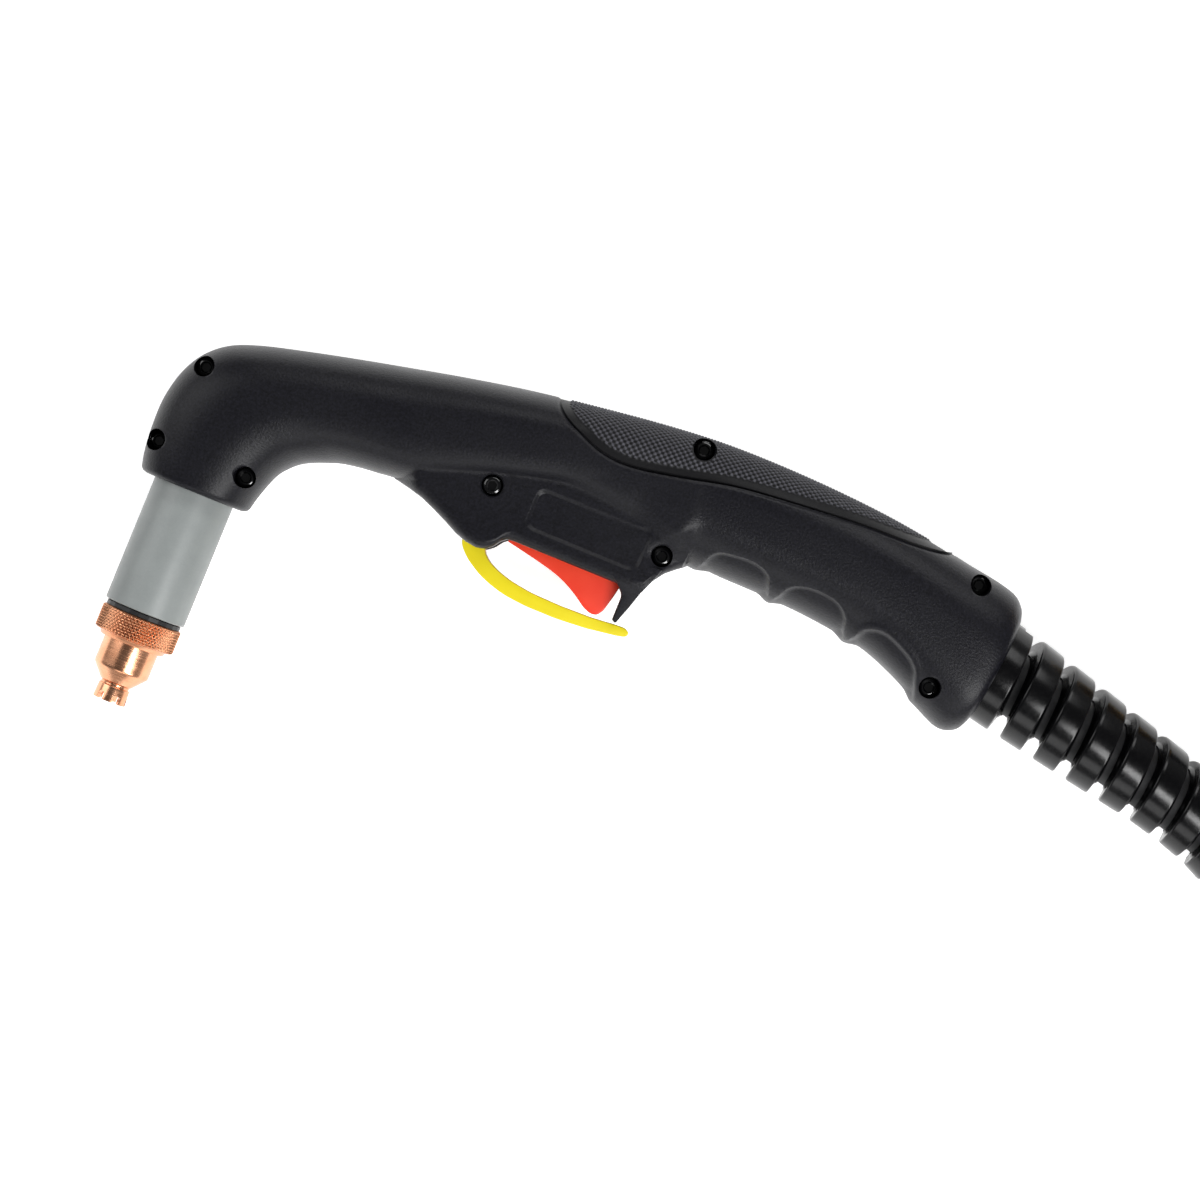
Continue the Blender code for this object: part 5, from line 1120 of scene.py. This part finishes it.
def label_cutter(rows, across):
    """The label's recess: its floor follows the skin, and its walls open out."""
    floor = half_solid(side_points(rows, across, LABEL_DEPTH, seam=-1.0))
    bm = bmesh.new()
    middle = [(LABEL[0][k] + LABEL[1][k]) / 2 for k in (0, 1)]
    half = [(LABEL[1][k] - LABEL[0][k]) / 2 for k in (0, 1)]
    levels = [[bm.verts.new((*(middle[k] + (p[k] - middle[k]) * (1 + out / half[k]) for k in (0, 1)), height))
               for p in label_outline()] for height, out in LABEL_WALL]
    for low, high in zip(levels, levels[1:]):
        for k in range(len(low)):
            bm.faces.new((low[k - 1], low[k], high[k], high[k - 1]))
    bm.faces.new(levels[0])
    bm.faces.new(levels[-1])
    return combined(to_mesh(bm), floor)


def build_shells():
    """Both handle shells and the screws between them."""
    rows, along = ring_rows(0.62, 0.34)
    from_end = np.minimum(along, along[-1] - along)
    drawn_in = LIP - np.sqrt(LIP ** 2 - np.clip(LIP - from_end, 0, LIP) ** 2)
    across = (1 - np.cos(np.linspace(0, math.pi, 160))) / 2
    bare = side_points(rows, across, drawn_in)
    inner = inner_cutters()
    for side, labelled in (("left", True), ("right", False)):
        fin = combined(tapered_fin(), block((90, 30, PARTING), (130, 70, 20)), operation="INTERSECT")
        shell = combined(half_solid(detailed(bare)), fin, operation="UNION")
        cutters = [cutter.copy() for cutter in inner]
        if labelled:
            cutters.append(label_cutter(rows, across))
        for x, y in SCREWS:
            low, high = rim_of(bare, x, y)
            seat = low - SCREW_SINK
            if labelled:
                cutters.append(recess(x, y, seat, high))
                cutters.append(rod((x, y, -1), (x, y, seat), SCREW_SHANK_R + GAP, 24))
            else:
                cutters.append(rod((x, y, -1), (x, y, top_of(bare, x, y) - SCREW_COVER), SCREW_SHANK_R + GAP, 24))
        shell = combined(shell, *cutters)
        shell = shell if labelled else mirrored(shell)
        piece(f"shell_{side}", shell, "handle", NYLON, "handle", f"handle_{side}", sharp=30)
    for index, (x, y) in enumerate(SCREWS, 1):
        build_screw(index, x, y, rim_of(bare, x, y)[0] - SCREW_SINK, top_of(bare, x, y))


def build_screw(index, x, y, seat, surface):
    """A socket screw with a softly domed head."""
    tip = -(surface - SCREW_COVER) + 0.3
    low = seat - SCREW_HEAD_H
    profile = [(0.0, seat), (1.5, seat - 0.02), (2.1, seat - 0.12), (2.38, seat - 0.34),
               (SCREW_HEAD_R, seat - 0.7), (SCREW_HEAD_R, low), (SCREW_SHANK_R, low), (SCREW_SHANK_R, tip),
               (0.0, tip)]
    place = Matrix.Translation((x, y, 0))
    socket = rod((x, y, seat - 1.3), (x, y, seat + 1), 1.25, 6)
    mouth = turned([(0.0, seat - 0.3), (1.1, seat - 0.3), (1.75, seat + 0.2), (0.0, seat + 0.2)], 48, place)
    screw = combined(turned(profile, 48, place), socket, mouth)
    piece(f"socket_screw_{index}", screw, "handle", OXIDE, "screw", f"handle_screw_{index}", sharp=35)


def pad_line(rows):
    """Along each ring: how far round the skin the pad reaches, and the ring's own measure of that."""
    probe = np.linspace(0, 1, 500) ** 2.5
    found = side_points(rows, probe[None, :])
    arc = np.concatenate([np.zeros((len(rows), 1)),
                          np.cumsum(np.linalg.norm(np.diff(found, axis=1), axis=2), axis=1)], axis=1)
    depth = outline_depth(found[:, :, 0], found[:, :, 1], curved(PAD_OUTLINE))
    ends = []
    for i in range(len(rows)):
        last = int(np.flatnonzero(depth[i] < 0)[0])
        share = depth[i, last - 1] / (depth[i, last - 1] - depth[i, last])
        ends.append(arc[i, last - 1] + share * (arc[i, last] - arc[i, last - 1]))
    return probe, arc, np.array(ends)


def pad_grid(rows, probe, arc, ends, count, inset):
    share = np.linspace(0, 1, count)
    part = np.array([np.interp(share * end, line, probe) for end, line in zip(ends, arc)])
    return side_points(rows, part, inset), share[None, :] * ends[:, None]


def build_pads():
    """Rubber pads: a smooth margin below the shell's surface, then rows of pips up to it."""
    rows, along = ring_rows(0.24)
    keep = (rows[:, 0] > PAD_OUTLINE[1][0] - 0.2) & (rows[:, 0] < PAD_OUTLINE[-4][0] - 0.7)
    rows, along = rows[keep], along[keep]
    probe, arc, ends = pad_line(rows)
    ends = ends - PAD_GAP
    top, around = pad_grid(rows, probe, arc, ends, 104, 0.0)
    under, _ = pad_grid(rows, probe, arc, ends, 8, PAD_THICKNESS)
    edge = outline_depth(top[:, :, 0], top[:, :, 1], curved(PAD_OUTLINE))
    lattice = math.tau / (PIP_PITCH * math.sqrt(2))
    weave = (np.cos(lattice * (along[:, None] + around)) + np.cos(lattice * (along[:, None] - around))) / 2
    raised = np.clip(PIP_LEVEL + PIP_SWING * weave, 0, 1) * smooth_step(edge, PAD_BAND, PAD_BAND + 0.4)
    top = top + outward(top) * (PIP_HEIGHT * raised - PAD_STEP)[:, :, None]
    top[:, :, 2] = np.maximum(top[:, :, 2], PARTING)
    bm = bmesh.new()
    pip = bm.verts.layers.float.new("pip")
    upper, lower = grid_of(bm, top), grid_of(bm, under)
    for row, heights in zip(upper, raised):
        for vert, height in zip(row, heights):
            vert[pip] = height
    for end in (0, -1):
        bm.faces.new(upper[end] + lower[end][::-1])
        for k in range(len(upper) - 1):
            bm.faces.new((upper[k][end], upper[k + 1][end], lower[k + 1][end], lower[k][end]))
    pad = to_mesh(bm)
    right = mirrored(pad)
    x, y = SCREWS[PAD_SCREW]
    left = combined(pad, rod((x, y, 0), (x, y, 30), RECESS_R + RECESS_FLARE, 48), folded=True)
    piece("pad_left", left, "handle", RUBBER, "pad", "grip_pad_left", sharp=60)
    piece("pad_right", right, "handle", RUBBER, "pad", "grip_pad_right", sharp=60)


# --- head ---------------------------------------------------------------------------------------------
SLEEVE_R = 10.7
SLEEVE_BORE_R = 8.6
SLEEVE_TOP = 38.5
CAP_R = 10.6
CAP_TOP = -1.35
CAP_KNURL_LOW = -7.8
CAP_LOW = -9.0
CAP_BORE_R = 8.7
KNURL_STARTS = 60
KNURL_DEPTH = 0.42
KNURL_STEPS = 10  # round the cap, for each start
KNURL_ROWS = 54
KNURL_OPEN = 0.7  # a groove's share of the pitch; the rest is the diamonds' flat tops
KNURL_LEAN = 0.8
# how strongly the knurl's grooves are painted with shade
KNURL_GROOVE_SHADE = 0.35
NOZZLE_R = 7.3
NOZZLE_BORE_R = 5.6
NOZZLE_FLANGE_R = 8.4
NOZZLE_FLANGE = (-7.5, -6.4)
CROWN_LOW = -24.6
CROWN_TOP = -20.6
CONE_LOW = -19.5
CONE_TOP = -16.1
NECK_R = 3.8
CROWN_R = 4.3
CROWN_BORE_R = 3.0
ORIFICE_R = 0.7
ARCHES = 6
ARCH_HALF = 0.85
ARCH_TALL = 2.1


def build_sleeve():
    outline = [(SLEEVE_BORE_R, 0.0, 0.0), (SLEEVE_R, 0.0, 0.5), (SLEEVE_R, SLEEVE_TOP, 0.5),
               (SLEEVE_BORE_R, SLEEVE_TOP, 0.0)]
    sleeve = turned(rounded(outline), 128, HEAD)
    piece("sleeve_turned", sleeve, "handle", PHENOLIC, "sleeve", "head_sleeve")


def build_cap():
    """The retaining cap with a diamond knurl rolled into its rim."""
    high, low = CAP_TOP - 0.35, CAP_KNURL_LOW + 0.35
    knurl = [(CAP_R, high + (low - high) * i / KNURL_ROWS) for i in range(KNURL_ROWS + 1)]
    profile = [(CAP_BORE_R, CAP_TOP), (CAP_R - 0.7, CAP_TOP)] + knurl
    profile += [(CAP_R - 0.7, CAP_KNURL_LOW), (9.1, CAP_KNURL_LOW - 0.05), (8.9, CAP_KNURL_LOW - 0.25),
                (8.5, CAP_LOW + 0.1), (8.3, CAP_LOW), (NOZZLE_R + GAP, CAP_LOW),
                (NOZZLE_R + GAP, CAP_KNURL_LOW), (CAP_BORE_R, CAP_KNURL_LOW)]
    mesh = turned(profile, KNURL_STEPS * KNURL_STARTS)
    pitch = math.tau * CAP_R / KNURL_STARTS
    cut = mesh.attributes.new("cut", "FLOAT", "POINT")
    for vert in mesh.vertices:
        x, y, z = vert.co
        radius = math.hypot(x, y)
        if radius < CAP_R - 0.01:
            continue
        turn = math.atan2(y, x) * KNURL_STARTS / math.tau
        cuts = [abs(2 * ((turn + way * KNURL_LEAN * z / pitch) % 1.0) - 1) for way in (1, -1)]
        share = max(0.0, 1 - min(cuts) / KNURL_OPEN)
        # painted shade, darkest at the bottom of each groove
        cut.data[vert.index].value = KNURL_GROOVE_SHADE * share
        vert.co = (x * (1 - KNURL_DEPTH * share / radius), y * (1 - KNURL_DEPTH * share / radius), z)
    mesh.transform(HEAD)
    piece("cap_knurled", mesh, "cap", CAP_COPPER, "copper", "retaining_cap", sharp=50)


def build_nozzle():
    """Nozzle: a polished barrel, a cone and the drag crown with its arches."""
    low, high = NOZZLE_FLANGE
    outside = rounded([
        (NOZZLE_BORE_R, high, 0), (NOZZLE_FLANGE_R, high, 0.2), (NOZZLE_FLANGE_R, low, 0.2), (NOZZLE_R, low, 0),
        (NOZZLE_R, CONE_TOP, 1.0), (NECK_R + 0.5, CONE_LOW, 0.4), (NECK_R, CONE_LOW - 0.35, 0.2),
        (NECK_R, CROWN_TOP + 0.15, 0.2), (CROWN_R - 0.15, CROWN_TOP, 0.25), (CROWN_R + 0.05, CROWN_LOW, 0.15),
        (CROWN_BORE_R, CROWN_LOW, 0.1), (CROWN_BORE_R, CROWN_TOP - 1.0, 0.3), (ORIFICE_R, CROWN_TOP - 0.6, 0.1),
        (ORIFICE_R, CONE_TOP - 1.8, 0), (NOZZLE_BORE_R, CONE_TOP + 0.6, 0),
    ])
    nozzle = turned(outside, 144, HEAD)
    arches = []
    for index in range(ARCHES // 2):
        arch = [(-ARCH_HALF, -2.0, 0), (ARCH_HALF, -2.0, 0), (ARCH_HALF, ARCH_TALL, ARCH_HALF),
                (-ARCH_HALF, ARCH_TALL, ARCH_HALF)]
        cutter = plate(rounded(arch), 2 * CROWN_R)
        turn = Matrix.Rotation(math.pi * (index + 0.5) / (ARCHES // 2), 4, "Y")
        cutter.transform(Matrix.Translation((0, CROWN_LOW, 0)) @ turn)
        arches.append(cutter)
    nozzle = combined(nozzle, *arches)
    piece("nozzle_turned", nozzle, "nozzle", NOZZLE_COPPER, "copper", "nozzle", sharp=34)


# --- trigger and safety lever ---------------------------------------------------------------------------
TRIGGER_HALF = 6.0
TRIGGER_OUTLINE = (
    (79.4, 52.0, 0.4), (84.0, 51.1), (88.0, 50.3), (92.0, 49.4), (95.3, 48.4), (98.0, 47.2), (101.0, 45.5),
    (103.6, 43.7), (105.8, 42.9), (107.5, 43.2), (108.6, 44.8), (109.4, 48.0), (110.3, 52.0),
    (110.3, 56.0, 0.4), (88.0, 56.0, 0.0), (85.8, 54.2, 0.0), (79.4, 54.0, 0.4),
)
TRIGGER_WEB_HALF = 3.2
TRIGGER_WEB = (
    (79.6, 53.0, 0.5), (109.6, 53.0, 0.5), (109.6, 59.0, 0.8), (95.0, 59.6, 2.0), (92.2, 61.2, 1.0),
    (88.0, 61.2, 1.0), (84.2, 60.4, 1.0), (82.0, 60.7), (79.4, 59.4), (78.8, 57.5),
)
LEVER_HALF = 6.0
LEVER_OUTLINE = (
    (68.3, 48.9, 0.5), (68.5, 47.4), (69.6, 45.8), (71.7, 43.9), (76.0, 41.3), (80.0, 39.9), (84.0, 38.9),
    (90.0, 38.4), (98.0, 38.4), (106.0, 39.0), (114.0, 40.2), (116.4, 40.8), (116.9, 42.0), (115.6, 42.9),
    (113.4, 42.8), (106.0, 42.1), (98.0, 41.9), (90.0, 42.1), (84.0, 42.9), (79.6, 44.2), (76.6, 45.7),
    (74.9, 47.4), (74.4, 48.9, 0.5),
)
LEVER_HUB_HALF = 3.2
LEVER_HUB = (
    (68.4, 52.3), (68.6, 47.0, 1.0), (71.0, 45.0, 1.0), (74.6, 46.8, 1.0), (74.8, 52.3), (74.0, 54.4),
    (71.6, 55.5), (69.2, 54.4),
)


def build_levers():
    """Trigger and safety lever, each with the narrow web that turns on its pin."""
    for name, outline, half, web, web_half, pivot, edge, body, material, slot, node in (
        ("trigger_moulded", TRIGGER_OUTLINE, TRIGGER_HALF, TRIGGER_WEB, TRIGGER_WEB_HALF, TRIGGER_PIVOT, 0.8,
         "trigger", RED, "trigger", "trigger"),
        ("lever_moulded", LEVER_OUTLINE, LEVER_HALF, LEVER_HUB, LEVER_HUB_HALF, LEVER_PIVOT, 1.3,
         "lever", YELLOW, "lever", "safety_lever"),
    ):
        blade = plate(rounded(outline), half, edge=edge, segments=4)
        blade = combined(blade, plate(rounded(web), web_half), operation="UNION")
        x, y = pivot
        mesh = combined(blade, rod((x, y, -9), (x, y, 9), PIN_R + 0.25, 32))
        piece(name, mesh, body, material, slot, node, sharp=35)


build_shells()
build_pads()
build_sleeve()
build_cap()
build_nozzle()
build_levers()
